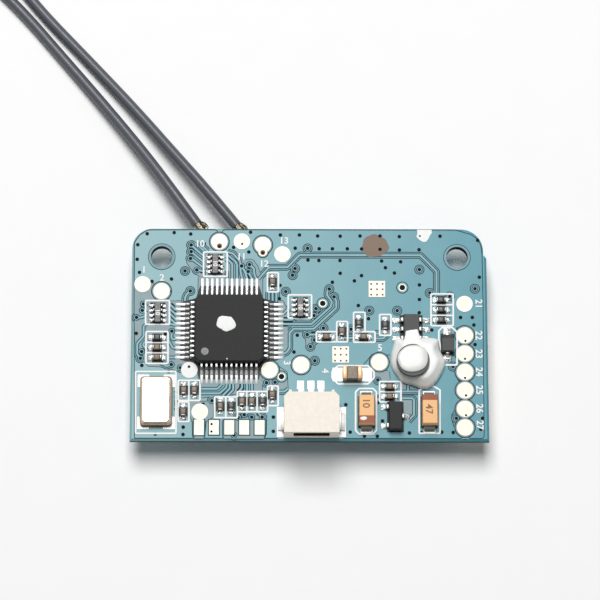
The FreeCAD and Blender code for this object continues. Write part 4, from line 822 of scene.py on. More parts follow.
@dataclass
class AntennaLead:
    """A thin coaxial lead: a grey jacket, and the bare inner conductor that its last part is stripped to."""

    number: int
    route: list[tuple[float, float, float]]
    turn: Turn
    diameter: float = 1.13 * MM
    tip_diameter: float = 0.68 * MM
    jacket_length: float = 62.0 * MM
    tip_length: float = 31.0 * MM
    coil_radius: float = 6.6 * MM
    coil_pitch: float = 1.15 * MM
    lead_in: float = 4.2 * MM
    points_a_turn: int = 16
    strands: int = 14
    strand_diameter: float = 0.13 * MM

    def build(self) -> None:
        """Make the jacket and its bare tip, hide the imported lead and coil, and add the loose braid strands.
        """
        points = [Vector(point) * MM for point in self.route]
        heading = points[-1] - points[-2]
        heading.z = 0.0
        heading.normalize()
        touch = points[-1] + heading * self.lead_in
        centre = touch + Vector((-heading.y, heading.x, 0)) * self.turn.value * self.coil_radius
        start = math.atan2(touch.y - centre.y, touch.x - centre.x)
        route_length = sum((b - a).length for a, b in zip(points, points[1:])) + self.lead_in
        jacket_sweep = self.sweep_for(self.jacket_length - route_length)
        whole_sweep = self.sweep_for(self.jacket_length + self.tip_length - route_length)
        jacket = [*points, *self.winding(centre, start, 0.0, jacket_sweep)]
        tip = self.winding(centre, start, jacket_sweep, whole_sweep)
        prefix = f"antenna_{self.number}"
        body = self.cord(f"{prefix}_jacket", jacket, self.diameter, JACKET)
        end = self.cord(f"{prefix}_bare_tip", tip, self.tip_diameter, DIELECTRIC)
        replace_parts(body, f"{prefix}_lead", f"{prefix}_coil")
        self.build_fray(points[0])

    def build_fray(self, start: Vector) -> None:
        """Make the loose braid strands that stick out beside the jacket's end.

        Args:
            start: The middle of the jacket's end.
        """
        draw = random.Random(40 + self.number)
        lines = []
        for _ in range(self.strands):
            first, last, bulge = (Vector([draw.uniform(*span) for span in spans]) * MM
                                  for spans in (STRAND_START, STRAND_END, STRAND_BULGE))
            lines.append([start + first, start + (first + last) / 2 + bulge, start + last])
        mesh = applied(linked("fray", round_strands("fray", lines, self.strand_diameter, 1, 12)))
        mesh.shade_smooth()
        new_piece(f"antenna_{self.number}_braid_strands", mesh, BRAID)

    def sweep_for(self, length: float) -> float:
        """Turn a length of cord in the coil into an angle.

        Args:
            length: Length that lies in the coil.

        Returns:
            The angle in radians, with the radius shrinking by the pitch at each turn.
        """
        sweep, done = 0.0, 0.0
        step = math.radians(1.0)
        while done < length:
            done += step * (self.coil_radius - self.coil_pitch * sweep / math.tau)
            sweep += step
        return sweep

    def winding(self, centre: Vector, start: float, first: float, last: float) -> list[Vector]:
        """List the control points of a stretch of the coil.

        Args:
            centre: The coil's middle.
            start: Direction of the point where the lead meets the coil.
            first: Angle wound before this stretch.
            last: Angle wound at its end.

        Returns:
            Points a little outside the turns, so that the smooth curve lies on them.
        """
        count = max(4, math.ceil((last - first) / math.tau * self.points_a_turn))
        step = (last - first) / count
        outside = 4 / (3 + math.cos(step))
        places = []
        for index in range(count + 1):
            sweep = first + index * step
            radius = self.coil_radius - self.coil_pitch * sweep / math.tau
            if 0 < index < count:
                radius *= outside
            angle = start + sweep * self.turn.value
            places.append(centre + Vector((math.cos(angle), math.sin(angle), 0)) * radius)
        return places

    def cord(self, name: str, points: list[Vector], diameter: float, finish: Finish) -> Object:
        """Make one stretch of the lead as a curve."""
        return new_piece(name, round_strands(name, [points], diameter, 6, 10), finish)


# The board's upper face, whose places are pixels of the photograph followed down to the board

TRACKS = [
    [(258.5, 279), (269, 267.3), (287.5, 267.3), (299.5, 255), (420.5, 255.3), (436.5, 271.5), (436.5, 294)],
    [(283, 324), (311.5, 324), (330.5, 307), (332, 302), (327, 295), (327.3, 291), (329.3, 289.1)],
    [(283, 354), (287, 352), (289.6, 348), (289.6, 333), (293.5, 328.8), (313.8, 328.8), (336.3, 308),
     (336.3, 301), (334, 296.9)],
    [(190.3, 291), (186.6, 294.2), (185, 298), (185, 303)],
    [(196.8, 270), (205, 271.3)], [(191.2, 245), (194, 247.5), (204, 256.5)],
    [(191.2, 251.7), (194, 254), (204, 262.5)], [(190.5, 258.5), (194, 260.5), (204, 268)],
    [(197, 244.5), (204, 251)], [(203, 247), (207.5, 251)],
    [(227.2, 271), (227.2, 279)], [(227.5, 259), (232.2, 264), (232.2, 279)],
    [(227.5, 255), (235.5, 261.5), (237.1, 265), (237.1, 279)],
    [(227.5, 252), (233, 253.5), (240.2, 261.5), (240.6, 272), (242.1, 279)],
    [(241.6, 266), (245, 272), (247.1, 279)], [(248.2, 271.6), (250, 275), (252.1, 279)],
    [(249.5, 264.6), (253.8, 268.5), (254.5, 275), (256.5, 279)],
    [(268.8, 292), (268.8, 302)], [(272.6, 292), (272.6, 304)], [(276.4, 292), (276.4, 304)],
    [(283, 314.5), (287.5, 309.5), (289.5, 308)], [(283, 319.7), (292, 319.7), (294.5, 317.5)],
    [(307.2, 334.6), (318, 334.6)], [(314.5, 340), (318, 337.5)],
    [(344, 338), (354, 338)], [(375, 333.6), (380, 333.6)], [(375, 338.5), (383, 338.5), (387.5, 334.5)],
    [(222.2, 384), (217.5, 388.8), (200, 388.8)], [(226.8, 384), (226.3, 387.5), (219.5, 393.4),
     (200, 393.4)],
    [(229.8, 384), (229.8, 388.3), (222.5, 396)], [(233.2, 384), (233.2, 389.8), (226.5, 397)],
    [(242, 384), (242, 388), (238.5, 392)], [(247, 384), (247, 392)], [(252, 384), (252, 392)],
    [(278, 391.5), (284.5, 391.5), (288, 388.5)], [(143.5, 304), (147, 307)], [(142.3, 310.4), (147, 313)],
    [(136.6, 317.4), (141, 317.6), (147, 315.5)],
    [(147, 324), (143.6, 326), (143.6, 336.5), (137.2, 343.5), (137.2, 354), (140.4, 358.3)],
    [(147, 350), (142.5, 344.5), (146, 341)], [(170, 304.5), (175.5, 309.7)], [(170, 309), (175.5, 314.3)],
    [(170, 313.8), (175.5, 318.9)], [(170, 318.5), (175.5, 323.5)], [(170, 324), (175.5, 325)],
    [(171.8, 331.2), (171.2, 340), (176, 339)], [(168.5, 340), (172.5, 347.5), (176, 348.5)],
    [(167.5, 357.5), (176, 357.5)], [(162.3, 362.6), (166, 366.3), (171.3, 364.6)],
    [(401, 391.5), (419, 391.5)], [(408, 384), (408, 391.5)], [(401, 398.3), (414, 398.3), (414, 415),
     (408, 421)],
    [(244.2, 414.8), (249, 412)], [(262.1, 417.2), (258, 412.5)], [(211.6, 424.2), (211.4, 431.6)],
    [(174, 394.5), (179, 394.5)], [(174, 399.5), (179, 399.5)], [(174, 407), (179, 407)],
]
PLAIN_VIAS = [
    (147.2, 233.7), (174.2, 232.6), (190.7, 234), (137.8, 244.7), (137.2, 259.3), (139.5, 272.4),
    (171.5, 279),
    (204.3, 243.7), (152, 281.4), (169, 291.5), (136.3, 333.4), (165.3, 334), (141.8, 365.4), (168.7, 371.6),
    (155.2, 434), (183.2, 427.1), (183, 434.5), (203, 404.3), (250.6, 232.2), (280.4, 235), (299.4, 235),
    (233.6, 247.4), (248.8, 252), (295.2, 248.2), (307.9, 260), (280, 285.4), (279.4, 298.7), (297.3, 335.2),
    (294, 352), (273.4, 417.1), (273.3, 431.3), (317.6, 236), (340.2, 236.2), (360, 236), (380, 236),
    (399.3, 236.6), (440, 236.2), (319.2, 248.8), (332.4, 248.8), (347.3, 248.8), (361.6, 249), (380, 249.4),
    (399.4, 250), (419, 249.7), (318.9, 260.5), (340, 260.5), (381.6, 261), (400.6, 261.8), (385.4, 267.7),
    (394.4, 273), (340.2, 273.3), (361.5, 275.6), (354.4, 280.9), (332.4, 282.2), (419.4, 284.9),
    (419.4, 299.5), (419.2, 312.7), (477.6, 240.3), (479.3, 277.2), (358.3, 305.5), (368.5, 318.7),
    (345.8, 404.7), (350.2, 432.1), (364.4, 436), (377.3, 436.2), (377.8, 396.4), (378, 402.5), (382.5, 421),
    (460.5, 317.5), (472.3, 317.4), (473.9, 325), (431.8, 330), (475, 344.5), (482.6, 418.3), (480.8, 429.2),
    (409.4, 433), (421.5, 432.8), (441.7, 432.1), (453.2, 432.5),
]
RINGED_VIAS = [
    (191.2, 245), (191.2, 251.7), (190.5, 258.5), (185, 271), (196.8, 270), (190.3, 291), (143.5, 304),
    (142.3, 310.4), (136.6, 317.4), (171.8, 331.2), (141.7, 351.6), (140.4, 358.3), (162.3, 362.6),
    (171.3, 364.6), (180.3, 367.8), (212, 400.8), (241.6, 266), (249.5, 264.6), (248.2, 271.6),
    (307.6, 248.4),
    (295, 268.6), (292.6, 275.2), (285.8, 291.7), (307.2, 334.6), (314.5, 340), (310.4, 346.6),
    (314.8, 360.8),
    (238.2, 417.4), (244.2, 414.8), (251.7, 417.2), (262.1, 417.2), (234, 435.2), (266.5, 382.8),
    (275, 382.3),
    (329.3, 289.1), (334, 296.9), (419.4, 269.6), (474.9, 288.8), (429.8, 293), (449.8, 296.5),
    (315.9, 308.7),
    (314, 315.5), (323.4, 328.2), (351, 329.3), (369.3, 310.6), (397.2, 310.7), (377.8, 380), (453, 366.6),
    (456.3, 418.3),
]
LARGE_VIAS = [(322.7, 303.4), (281.5, 376.6), (402.3, 287.6)]
SMALL_PAD_HOLES = [
    (242.2, 244), (465.4, 341), (465, 358.9), (465, 378), (466, 395.5), (466, 415.3), (211.6, 424.2),
    (211.4, 431.6),
]
LARGE_PAD_HOLES = [(219.5, 246), (262.8, 252.6)]
PAD_LOBE = [(262.8, 252.2)]
PAD_HOLE_BOTTOMS = [(219.5, 246.6), (262.8, 253.1)]
PAINTED_HOLE = [(419.8, 236.2)]
INKED_PAD_MARK = [(189, 366.8)]
THERMAL_HOLES = [(x, y) for x in (371.2, 377, 382.6) for y in (284, 289.4, 294.8)] + [
    (x, y) for x in (335, 340.7, 346.4) for y in (348.8, 354.8, 360.8)]
# Pads with a ring without copper, and the one with ink on it, in millimetres from the middle of the board
CLEARED_PADS = [
    (-9.16, 9.59), (-4.74, 9.26), (-14.97, 4.4), (-4.02, -3.75), (-0.85, -3.23), (7.03, -2.93),
    (15.68, -0.14), (15.67, -2.02), (15.65, -3.92), (15.63, -5.81), (15.6, -7.71), (15.57, -9.61)]
INKED_PAD = (-12.08, -3.77)
BARE_AREAS = [
    [(134.4, 283), (151, 282), (163, 291), (168, 297), (168, 301), (196, 302), (196, 371), (176, 371),
     (168, 367),
     (158, 366.5), (148, 366), (145, 362), (135.3, 356), (134.4, 320)],
    [(198.5, 276.5), (262.5, 277.5), (262.5, 299), (283, 301), (288, 311), (287.5, 352), (283.5, 358),
     (263, 362), (262, 391), (200, 398), (198, 372), (175, 371), (175, 301), (198, 301)],
    [(190, 401.5), (213.5, 401.5), (213, 417), (206, 421.5), (204.6, 436), (203.6, 440.8), (193.8, 440.8),
     (192.6, 436), (192.4, 422), (189.6, 415)],
    [(225, 418.6), (240, 418), (241, 413), (263, 413), (266.4, 418.5), (266.2, 434), (264, 440.8),
     (224, 440.8),
     (222.6, 436), (222.6, 421)],
    [(189.5, 240.5), (206, 247), (209, 252), (204.5, 277), (199, 276), (196, 273.5), (192, 270), (187, 263),
     (186.6, 257.5), (189, 250), (187, 245.5)],
    [(227, 250.5), (231, 250.5), (236, 253.5), (241, 259.5), (252.5, 259.5), (257.5, 266), (259, 270),
     (261, 276), (259, 279), (227, 279)],
    [(266.5, 291), (279, 291), (279, 294), (276.8, 297), (277.5, 301), (283, 303.5), (266.5, 303)],
    [(401.5, 383.5), (413, 387.5), (419.5, 390), (419.5, 393.5), (411, 393.5), (401.5, 393.5)],
    [(401.5, 398), (412.5, 398.3), (412.5, 414), (401.5, 414)],
    [(461, 440.8), (464, 437), (466, 437), (470, 440.8)],
    [(371, 371), (389, 371), (390, 380), (379, 382), (372, 379)],
    [(278, 366), (287, 372), (288, 392), (279, 392), (264, 386), (262, 378)],
    [(304, 333), (317, 331.5), (317, 341), (312, 349), (306.5, 349), (306, 341)],
]
COPPER_EDGES = [
    [(134.4, 438.2), (134.1, 300), (134.6, 242), (140, 234.8), (147.5, 229.9), (215, 229.6), (217.8, 231.5)],
    [(222, 231.5), (224.5, 229.6), (300, 229.6), (455, 229.8), (463.9, 232.5), (470.6, 234.4),
     (476.2, 238.3), (480.2, 243.8), (481.9, 250.3), (483, 300), (484.2, 438.6), (470, 438.6), (468, 436.8)],
    [(134.4, 438.2), (193.5, 438.2)], [(204.2, 438.2), (223.6, 438.2)], [(264.3, 438.2), (278, 438.3)],
    [(343, 438.4), (461, 438.6), (463, 436.8)], [(363, 365.5), (372, 354.5), (378, 352), (386, 355),
     (390, 355)],
    [(193, 420.5), (193, 436.2), (194.6, 438.2)], [(205.3, 420.5), (205, 436.2), (203.6, 438.2)],
    [(222.4, 421), (222.4, 436.2), (224, 438.2)], [(266.4, 419), (266.2, 434), (264, 438.2)],
    [(457, 327), (455.5, 333)], [(459.5, 382), (457.5, 379)], [(455, 410), (452, 414), (451.5, 418.5),
     (454, 427)],
]
SINGLE_FRAMES = [
    (203.6, 252, 227.2, 276.4), (145.6, 300.6, 169.4, 324.4), (288.2, 295, 311.6, 318),
    (267.5, 272.8, 278.4, 291.9),
    (178.2, 402, 189, 421.6), (267.6, 386, 278.2, 405.8), (316.4, 331.8, 336.8, 342),
    (336.8, 321.6, 347.6, 342),
    (353.6, 312.4, 365, 331.8), (353.6, 331.8, 375, 342.4), (379.6, 314.6, 391, 335.4),
    (135.6, 371.6, 176, 433.4),
]
# Each frame, then the rows and the columns of its rungs
LADDER_FRAMES = [
    ((146, 331.6, 168, 363.5), (342.4, 352.8), ()), ((431, 294, 453.2, 325.8), (304.8, 315.5), ()),
    ((379.6, 381.6, 401, 402), (391.7,), ()), ((178.2, 380.4, 200, 400.6), (), (188.8,)),
    ((214.6, 397, 237.4, 417.8), (), (225.8,)), ((237.4, 391.6, 267.6, 411.8), (), (246.8, 257)),
]
ROUNDED_FRAMES = [
    [(338, 365.8), (368, 365.8), (374, 372), (374, 378), (368, 384), (338, 384), (332, 378), (332, 372)],
    [(359, 388.6), (373, 388.6), (376.4, 392), (376.4, 430.5), (373, 434), (359, 434), (355.6, 430.5),
     (355.6, 392)],
    [(419.2, 390), (433, 386), (440, 390), (440, 433.4), (419.2, 433.4)],
    [(442, 327.5), (452, 327.5), (457, 332), (457, 365), (445, 365), (438.8, 340), (438.8, 331)],
]
# Each number, its middle and the way it is turned
NUMBERS = [
    ("1", (144, 270), 0), ("2", (162, 278), 0), ("10", (200, 244), 0), ("11", (241.5, 257), 0),
    ("12", (264, 264), 0), ("13", (284, 241), 0), ("3", (286.8, 363), -90), ("4", (325, 371), -90),
    ("5", (380, 348), 0), ("21", (478.5, 304), -90), ("22", (478.5, 335.5), -90), ("23", (478.7, 354), -90),
    ("24", (479, 372), -90), ("25", (479.2, 390), -90), ("26", (479.4, 408.5), -90),
    ("27", (479.8, 425), -90),
]
# Widths and radii of the printed forms, and the holes that the board is screwed down by, in millimetres
TRACK_WIDTH = 0.2
EDGE_LINE = 0.085
CLEARANCE = 0.17
LAND_RADIUS = 0.26
LAND_GAP = LAND_RADIUS + CLEARANCE
INK_WIDTH = 0.17
MOUNTING_HOLES = [(-15.0, 8.0), (15.0, 8.0)]
CONTACT_FEET = [(x, 380.8, x + 7, 389.2) for x in (297.0, 307.4, 317.4)]
# The programming pads lie nearer than this line
STRIP_PAD_EDGE = -8.5 * MM
STAIN_MIDDLE, STAIN_REACH = (374.8, 246.0), (13.4, 11.2)
STAIN_WAVES = ((0.05, 3, 1.0), (0.035, 7, 0.0))
EDGE_DAB = [(417, 229.9), (431.5, 229.9), (431.8, 233), (430, 235.5), (428, 239.6), (425.8, 242),
            (422.6, 242), (419, 239.8), (416.4, 236.6), (417.3, 233.8)]
# How far each package darkens the board, beside it and before it, in millimetres
SHADES = (
    ("resistor_array_bodies", 0.46, 0.1), ("capacitor_chip_bodies", 0.2, 0.2),
    ("resistor_chip_bodies", 0.2, 0.2), ("converter_body", 0.36, 0.08),
    ("regulator_body", 0.16, 0.1), ("diode_body", 0.04, 0.3),
    ("tantalum_case_1", 0.06, 0.12), ("tantalum_case_2", 0.06, 0.12))
# The same under the microcontroller's leads: half a row, and the reach on its near, right, far and left side
LEAD_ROW = 2.98
LEAD_REACH = (1.5, 1.45, 1.2, 1.45)
# Forms on one layer lie fine steps apart, in millimetres: lines take ten of them, and rings lie above those
FINE_STEP = 0.0005
LINE_STEPS = 10
RING_STEPS = 10.4


class Level(Enum):
    """Heights of the printed layers above the board in millimetres, each just over the one before."""

    CLEARANCE_EDGE = 0.006
    BARE = 0.012
    COPPER_EDGE = 0.018
    COPPER = 0.024
    STAIN = 0.029
    HOLE = 0.033
    INK = 0.038
    PAD_HOLE = 0.056

    def height(self, steps: float = 0) -> float:
        """Work out the layer's place in the frame, with fine steps that keep forms off one plane."""
        return BOARD_TOP + (self.value + FINE_STEP * steps) * MM


@dataclass(frozen=True)
class Discs:
    """Equal discs of one finish on one printed layer, with their radius in millimetres."""

    name: str
    pixels: list[Pixel]
    radius: float
    finish: Finish
    level: Level = Level.PAD_HOLE
    steps: float = 0
    sides: int = 24


DISCS = (
    Discs("via_clearance_edges", RINGED_VIAS, LAND_GAP + EDGE_LINE, COPPER_STEP, Level.CLEARANCE_EDGE,
          RING_STEPS),
    Discs("via_clearances", RINGED_VIAS, LAND_GAP, NARROW_GAP, Level.BARE, RING_STEPS),
    Discs("via_land_edges", RINGED_VIAS, LAND_RADIUS + EDGE_LINE, COPPER_STEP, Level.COPPER_EDGE, RING_STEPS),
    Discs("via_lands", RINGED_VIAS, LAND_RADIUS, TRACK_COPPER, Level.COPPER, RING_STEPS),
    Discs("via_holes", [*PLAIN_VIAS, *RINGED_VIAS], 0.185, VIA_DARK, Level.HOLE, sides=16),
    Discs("pad_lobe_edge", PAD_LOBE, 0.62, COPPER_STEP, Level.STAIN, 1),
    Discs("pad_lobe_gap", PAD_LOBE, 0.53, BARE_LAMINATE, Level.STAIN, 5),
    Discs("pad_lobe", PAD_LOBE, 0.43, GOLD, steps=-8),
    Discs("painted_hole", PAINTED_HOLE, 0.1, VIA_DARK, sides=12),
    Discs("thermal_pad_holes", THERMAL_HOLES, 0.11, PAD_HOLE, sides=12),
    Discs("large_via_clearances", LARGE_VIAS, 0.62, COPPER_STEP, Level.COPPER, 9),
    Discs("large_via_gaps", LARGE_VIAS, 0.53, TRACK_COPPER, Level.STAIN),
    Discs("large_via_rings", LARGE_VIAS, 0.38, GOLD, Level.STAIN, 4),
    Discs("large_via_holes", LARGE_VIAS, 0.29, VIA_DARK, Level.HOLE),
    Discs("small_pad_holes", SMALL_PAD_HOLES, 0.12, VIA_DARK, sides=16),
    Discs("large_pad_holes", LARGE_PAD_HOLES, 0.27, PAD_HOLE),
    Discs("large_pad_hole_bottoms", PAD_HOLE_BOTTOMS, 0.16, VIA_DARK, steps=5, sides=16),
    Discs("inked_pad_mark", INKED_PAD_MARK, 0.16, VIA_DARK, steps=4, sides=5),
)


def corners(left: float, top: float, right: float, bottom: float) -> list[Pixel]:
    """Turn two corners of a frame into four, in pixels."""
    return [(left, top), (right, top), (right, bottom), (left, bottom)]


def rectangle(low: Vector, high: Vector, beside: float, before: float, z: float) -> list[Vector]:
    """Outline a box with a margin on one level.

    Args:
        low: The box's lowest corner.
        high: Its highest corner.
        beside: Margin across the board in millimetres.
        before: Margin along the board's depth in millimetres.
        z: The level.

    Returns:
        Four corners in order.
    """
    margin = Vector((beside, before)) * MM
    (left, near), (right, far) = low.xy - margin, high.xy + margin
    return [Vector((x, y, z)) for x, y in ((left, near), (right, near), (right, far), (left, far))]


def blot(middle: Pixel, reach: Pixel, waves: tuple, count: int, jitter: float = 0.0) -> list[Pixel]:
    """Outline an uneven spot.

    Args:
        middle: Its middle in pixels.
        reach: Its half width and half height in pixels.
        waves: Share, number and phase of each wave round its edge.
        count: Number of points.
        jitter: Largest random share.

    Returns:
        The pixels round its edge.
    """
    draw = random.Random(5)
    outline = []
    for step in range(count):
        angle = math.tau * step / count
        swell = 1 + sum(share * math.sin(number * angle + phase) for share, number, phase in waves)
        swell += draw.uniform(-jitter, jitter)
        outline.append((middle[0] + reach[0] * swell * math.cos(angle),
                        middle[1] + reach[1] * swell * math.sin(angle)))
    return outline


def print_text(name: str, digits: str, place: Vector, turn: float, size: float, finish: Finish) -> None:
    """Print a plain number flat on a surface.

    Args:
        name: The piece's name.
        digits: The number.
        place: Its middle in the frame.
        turn: Its direction in degrees.
        size: Height of the type in millimetres.
        finish: The ink.
    """
    curve = bpy.data.curves.new(name, "FONT")
    curve.body = digits
    curve.size = size * MM
    curve.offset = 0.02 * MM
    curve.align_x = "CENTER"
    curve.align_y = "CENTER"
    mesh = applied(linked(name, curve))
    mesh.transform(Matrix.Translation(place) @ Matrix.Rotation(math.radians(turn), 4, "Z"))
    new_piece(name, facing_up(mesh), finish)


@dataclass
class PrintedLayers:
    """The tracks, holes, clearances and ink that are seen on the board's upper face."""

    margin: float = 0.23 * MM
    far_margin: float = 0.05 * MM
    strips: NodeTree = field(default_factory=strip_tree)
    discs: NodeTree = field(default_factory=disc_tree)

    def build(self) -> None:
        """Make every printed layer."""
        self.build_tracks()
        self.build_bare_areas()
        for layer in DISCS:
            points = self.places(layer.pixels, layer.level, layer.steps)
            self.lay_discs(layer.name, points, layer.radius, layer.finish, layer.sides)
        self.build_ink()
        self.build_pads()
        self.build_shade()
        stain = self.places(blot(STAIN_MIDDLE, STAIN_REACH, STAIN_WAVES, 40), Level.STAIN)
        self.lay_areas("flux_stain", [stain], FLUX_STAIN)
        self.lay_areas("white_paint_dab", [self.places(EDGE_DAB, Level.INK, 7)], WHITE_PAINT)

    def places(self, pixels: list[Pixel], level: Level, steps: float = 0) -> list[Vector]:
        """Set pixels of the photograph on one printed layer, within the board's edges.

        Args:
            pixels: Columns and rows.
            level: The layer.
            steps: Fine steps above it.

        Returns:
            Points in the frame.
        """
        points = [VIEW.on_board(pixel) for pixel in pixels]
        return [Vector((min(max(point.x, BOARD_LOW.x + self.margin), BOARD_HIGH.x - self.margin),
                        min(max(point.y, BOARD_LOW.y + self.margin), BOARD_HIGH.y - self.far_margin),
                        level.height(steps))) for point in points]

    def stacked(self, lines: list[list[Pixel]], level: Level, first: int = 0) -> list[list[Vector]]:
        """Set lines on one layer, each a step off the one before so that crossings share no plane."""
        return [self.places(line, level, (first + index) % LINE_STEPS) for index, line in enumerate(lines)]

    def lay_strips(self, name: str, lines: list[list[Vector]], width: float, finish: Finish,
                   corner: float = 0.25, closed: bool = False) -> None:
        """Lay flat strips along lines.

        Args:
            name: The piece's name.
            lines: Points of each line.
            width: The strips' width in millimetres.
            finish: Their finish.
            corner: Radius at their corners in millimetres.
            closed: Whether each line returns to its start.
        """
        points, edges = [], []
        for line in lines:
            first = len(points)
            points += line
            edges += [(first + k, first + k + 1) for k in range(len(line) - 1)]
            if closed:
                edges.append((first + len(line) - 1, first))
        mesh = bpy.data.meshes.new(name)
        mesh.from_pydata(points, edges, [])
        made = run_tree(name, mesh, self.strips, {
            "Width": width * MM, "Corner": corner * MM, "Material": finish.material()})
        new_piece(name, facing_up(made), finish)

    def lay_discs(self, name: str, points: list[Vector], radius: float, finish: Finish, sides: int) -> None:
        """Lay equal flat discs on points.

        Args:
            name: The piece's name.
            points: The discs' middles.
            radius: Their radius in millimetres.
            finish: Their finish.
            sides: Corners of each disc.
        """
        mesh = bpy.data.meshes.new(name)
        mesh.from_pydata(points, [], [])
        made = run_tree(name, mesh, self.discs, {
            "Radius": radius * MM, "Sides": sides, "Material": finish.material()})
        new_piece(name, facing_up(made), finish)

    def lay_areas(self, name: str, outlines: list[list[Vector]], finish: Finish) -> None:
        """Lay flat filled areas.

        Args:
            name: The piece's name.
            outlines: Each area's corners.
            finish: Their finish.
        """
        points, faces = [], []
        for outline in outlines:
            faces.append(range(len(points), len(points) + len(outline)))
            points += outline
        mesh = bpy.data.meshes.new(name)
        mesh.from_pydata(points, [], faces)
        new_piece(name, facing_up(mesh), finish)

    def build_tracks(self) -> None:
        """Lay the copper tracks with the fine dark lines and bare gaps along them."""
        beside = TRACK_WIDTH + 2 * CLEARANCE
        for name, width, level, finish in (
                ("track_clearance_edges", beside + 2 * EDGE_LINE, Level.CLEARANCE_EDGE, COPPER_STEP),
                ("track_clearances", beside, Level.BARE, NARROW_GAP),
                ("track_edges", TRACK_WIDTH + 2 * EDGE_LINE, Level.COPPER_EDGE, COPPER_STEP),
                ("tracks", TRACK_WIDTH, Level.COPPER, TRACK_COPPER)):
            self.lay_strips(name, self.stacked(TRACKS, level), width, finish)
        edges = [self.places(line, Level.COPPER_EDGE, 9) for line in COPPER_EDGES]
        self.lay_strips("copper_pour_edges", edges, 0.075, COPPER_STEP, 0.3)

    def build_bare_areas(self) -> None:
        """Lay the greyer areas where the board has no copper, and the ring round each mounting hole."""
        self.lay_areas("bare_laminate_areas", self.stacked(BARE_AREAS, Level.BARE), BARE_LAMINATE)
        lines = self.stacked(BARE_AREAS, Level.CLEARANCE_EDGE)
        self.lay_strips("bare_area_edges", lines, 0.12, COPPER_STEP, 0.2, closed=True)
        turns = [Vector((math.cos(math.tau * k / 48), math.sin(math.tau * k / 48))) for k in range(48)]
        for name, radius, width, finish, steps in (("hole_ring_edges", 1.36, 0.06, COPPER_STEP, 9),
                                                   ("hole_rings", 1.22, 0.22, NARROW_GAP, 8)):
            rings = [[Vector((*(Vector(middle) + turn * radius) * MM, Level.COPPER.height(steps)))
                      for turn in turns] for middle in MOUNTING_HOLES]
            self.lay_strips(name, rings, width, finish, 0.01, closed=True)

    def build_ink(self) -> None:
        """Print the white frames and plain numbers."""
        frames = [corners(*box) for box in SINGLE_FRAMES]
        rungs = []
        for box, rows, columns in LADDER_FRAMES:
            frames.append(corners(*box))
            rungs += [[(box[0], row), (box[2], row)] for row in rows]
            rungs += [[(column, box[1]), (column, box[3])] for column in columns]
        frames += ROUNDED_FRAMES
        self.lay_strips("ink_frames", self.stacked(frames, Level.INK), INK_WIDTH, SILKSCREEN, 0.12, True)
        self.lay_strips("ink_rungs", self.stacked(rungs, Level.INK, 5), INK_WIDTH, SILKSCREEN)
        for index, (digits, pixel, turn) in enumerate(NUMBERS):
            place = self.places([pixel], Level.INK, 3)[0]
            print_text(f"ink_number_{index + 1}", digits, place, turn, 0.95, SILKSCREEN)

    def build_pads(self) -> None:
        """Cut the round test pads smooth, lay the gaps round the pads and ink over one of them."""
        parts = parts_of("test_pads")
        pads = bmesh.new()
        for low, high, count in parts:
            place = Matrix.Translation((low + high) / 2) @ Matrix.Diagonal((*(high - low), 1.0))
            if count > BOX_VERTICES:
                bmesh.ops.create_cone(pads, cap_ends=True, segments=64, radius1=0.5, radius2=0.5, depth=1.0,
                                      matrix=place)
            else:
                bmesh.ops.create_cube(pads, size=1.0, matrix=place)
        piece = new_piece("test_pads_piece", written(pads, bpy.data.meshes.new("round_test_pads")), GOLD)
        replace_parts(piece, "test_pads")
        strip = [(low, high) for low, high, count in parts
                 if count <= BOX_VERTICES and low.y < STRIP_PAD_EDGE]
        edge, gap = Level.STAIN.height(1), Level.STAIN.height(4)
        for name, margin, z, finish in (("strip_pad_edges", 0.13, edge, COPPER_STEP),
                                        ("strip_pad_gaps", 0.06, gap, NARROW_GAP)):
            self.lay_areas(name, [rectangle(low, high, margin, margin, z) for low, high in strip], finish)
        for name, radius, z, finish in (("pad_clearance_edges", 1.06, edge, COPPER_STEP),
                                        ("pad_clearances", 0.96, gap, BARE_LAMINATE)):
            self.lay_discs(name, [Vector((x * MM, y * MM, z)) for x, y in CLEARED_PADS], radius, finish, 40)
        inked = Vector((INKED_PAD[0] * MM, INKED_PAD[1] * MM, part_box("test_pads")[1].z + 0.004 * MM))
        self.lay_discs("inked_pad", [inked], 0.8, SILKSCREEN, 48)
        feet = [self.places(corners(*foot), Level.PAD_HOLE) for foot in CONTACT_FEET]
        self.lay_areas("connector_solder_feet", feet, PAD_SOLDER)

    def build_shade(self) -> None:
        """Darken the board under the microcontroller's leads and the small packages."""
        low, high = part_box("microcontroller_body")
        middle, half = (low + high) / 2, (high.x - low.x) / 2
        near, z = half - 0.1 * MM, Level.INK.height()
        row, outline = LEAD_ROW * MM, []
        for turn, reach in enumerate(LEAD_REACH):
            spin, far = Matrix.Rotation(turn * math.pi / 2, 2), half + reach * MM
            outline += [Vector((*(middle.xy + spin @ Vector(corner)), z))
                        for corner in ((-row, -far), (row, -far), (near, -near))]
        self.lay_areas("shade_under_leads", [outline], DEEP_SHADE)
        shades = [rectangle(low, high, beside, before, Level.INK.height(8 + 0.4 * index))
                  for node, beside, before in SHADES for index, (low, high, _) in enumerate(parts_of(node))]
        self.lay_areas("shade_under_chips", shades, DEEP_SHADE)


# Marks and forms on the parts

# Reach and height of each ring of the silicone drop, and its outline, in millimetres
CAP_RISE = ((0.96, 6.11), (1.02, 6.16), (1.03, 6.22), (0.98, 6.29), (0.86, 6.34), (0.6, 6.37), (0.25, 6.38))
CAP_OUTLINE = ((9.24, -2.14), (9.62, -1.79), (10.35, -1.66), (11.2, -1.72), (11.68, -2.12), (11.8, -2.8),
               (11.74, -3.5), (11.42, -4.05), (10.7, -4.36), (9.92, -4.4), (9.26, -4.17), (8.9, -3.6),
               (8.74, -3.0), (8.88, -2.52))
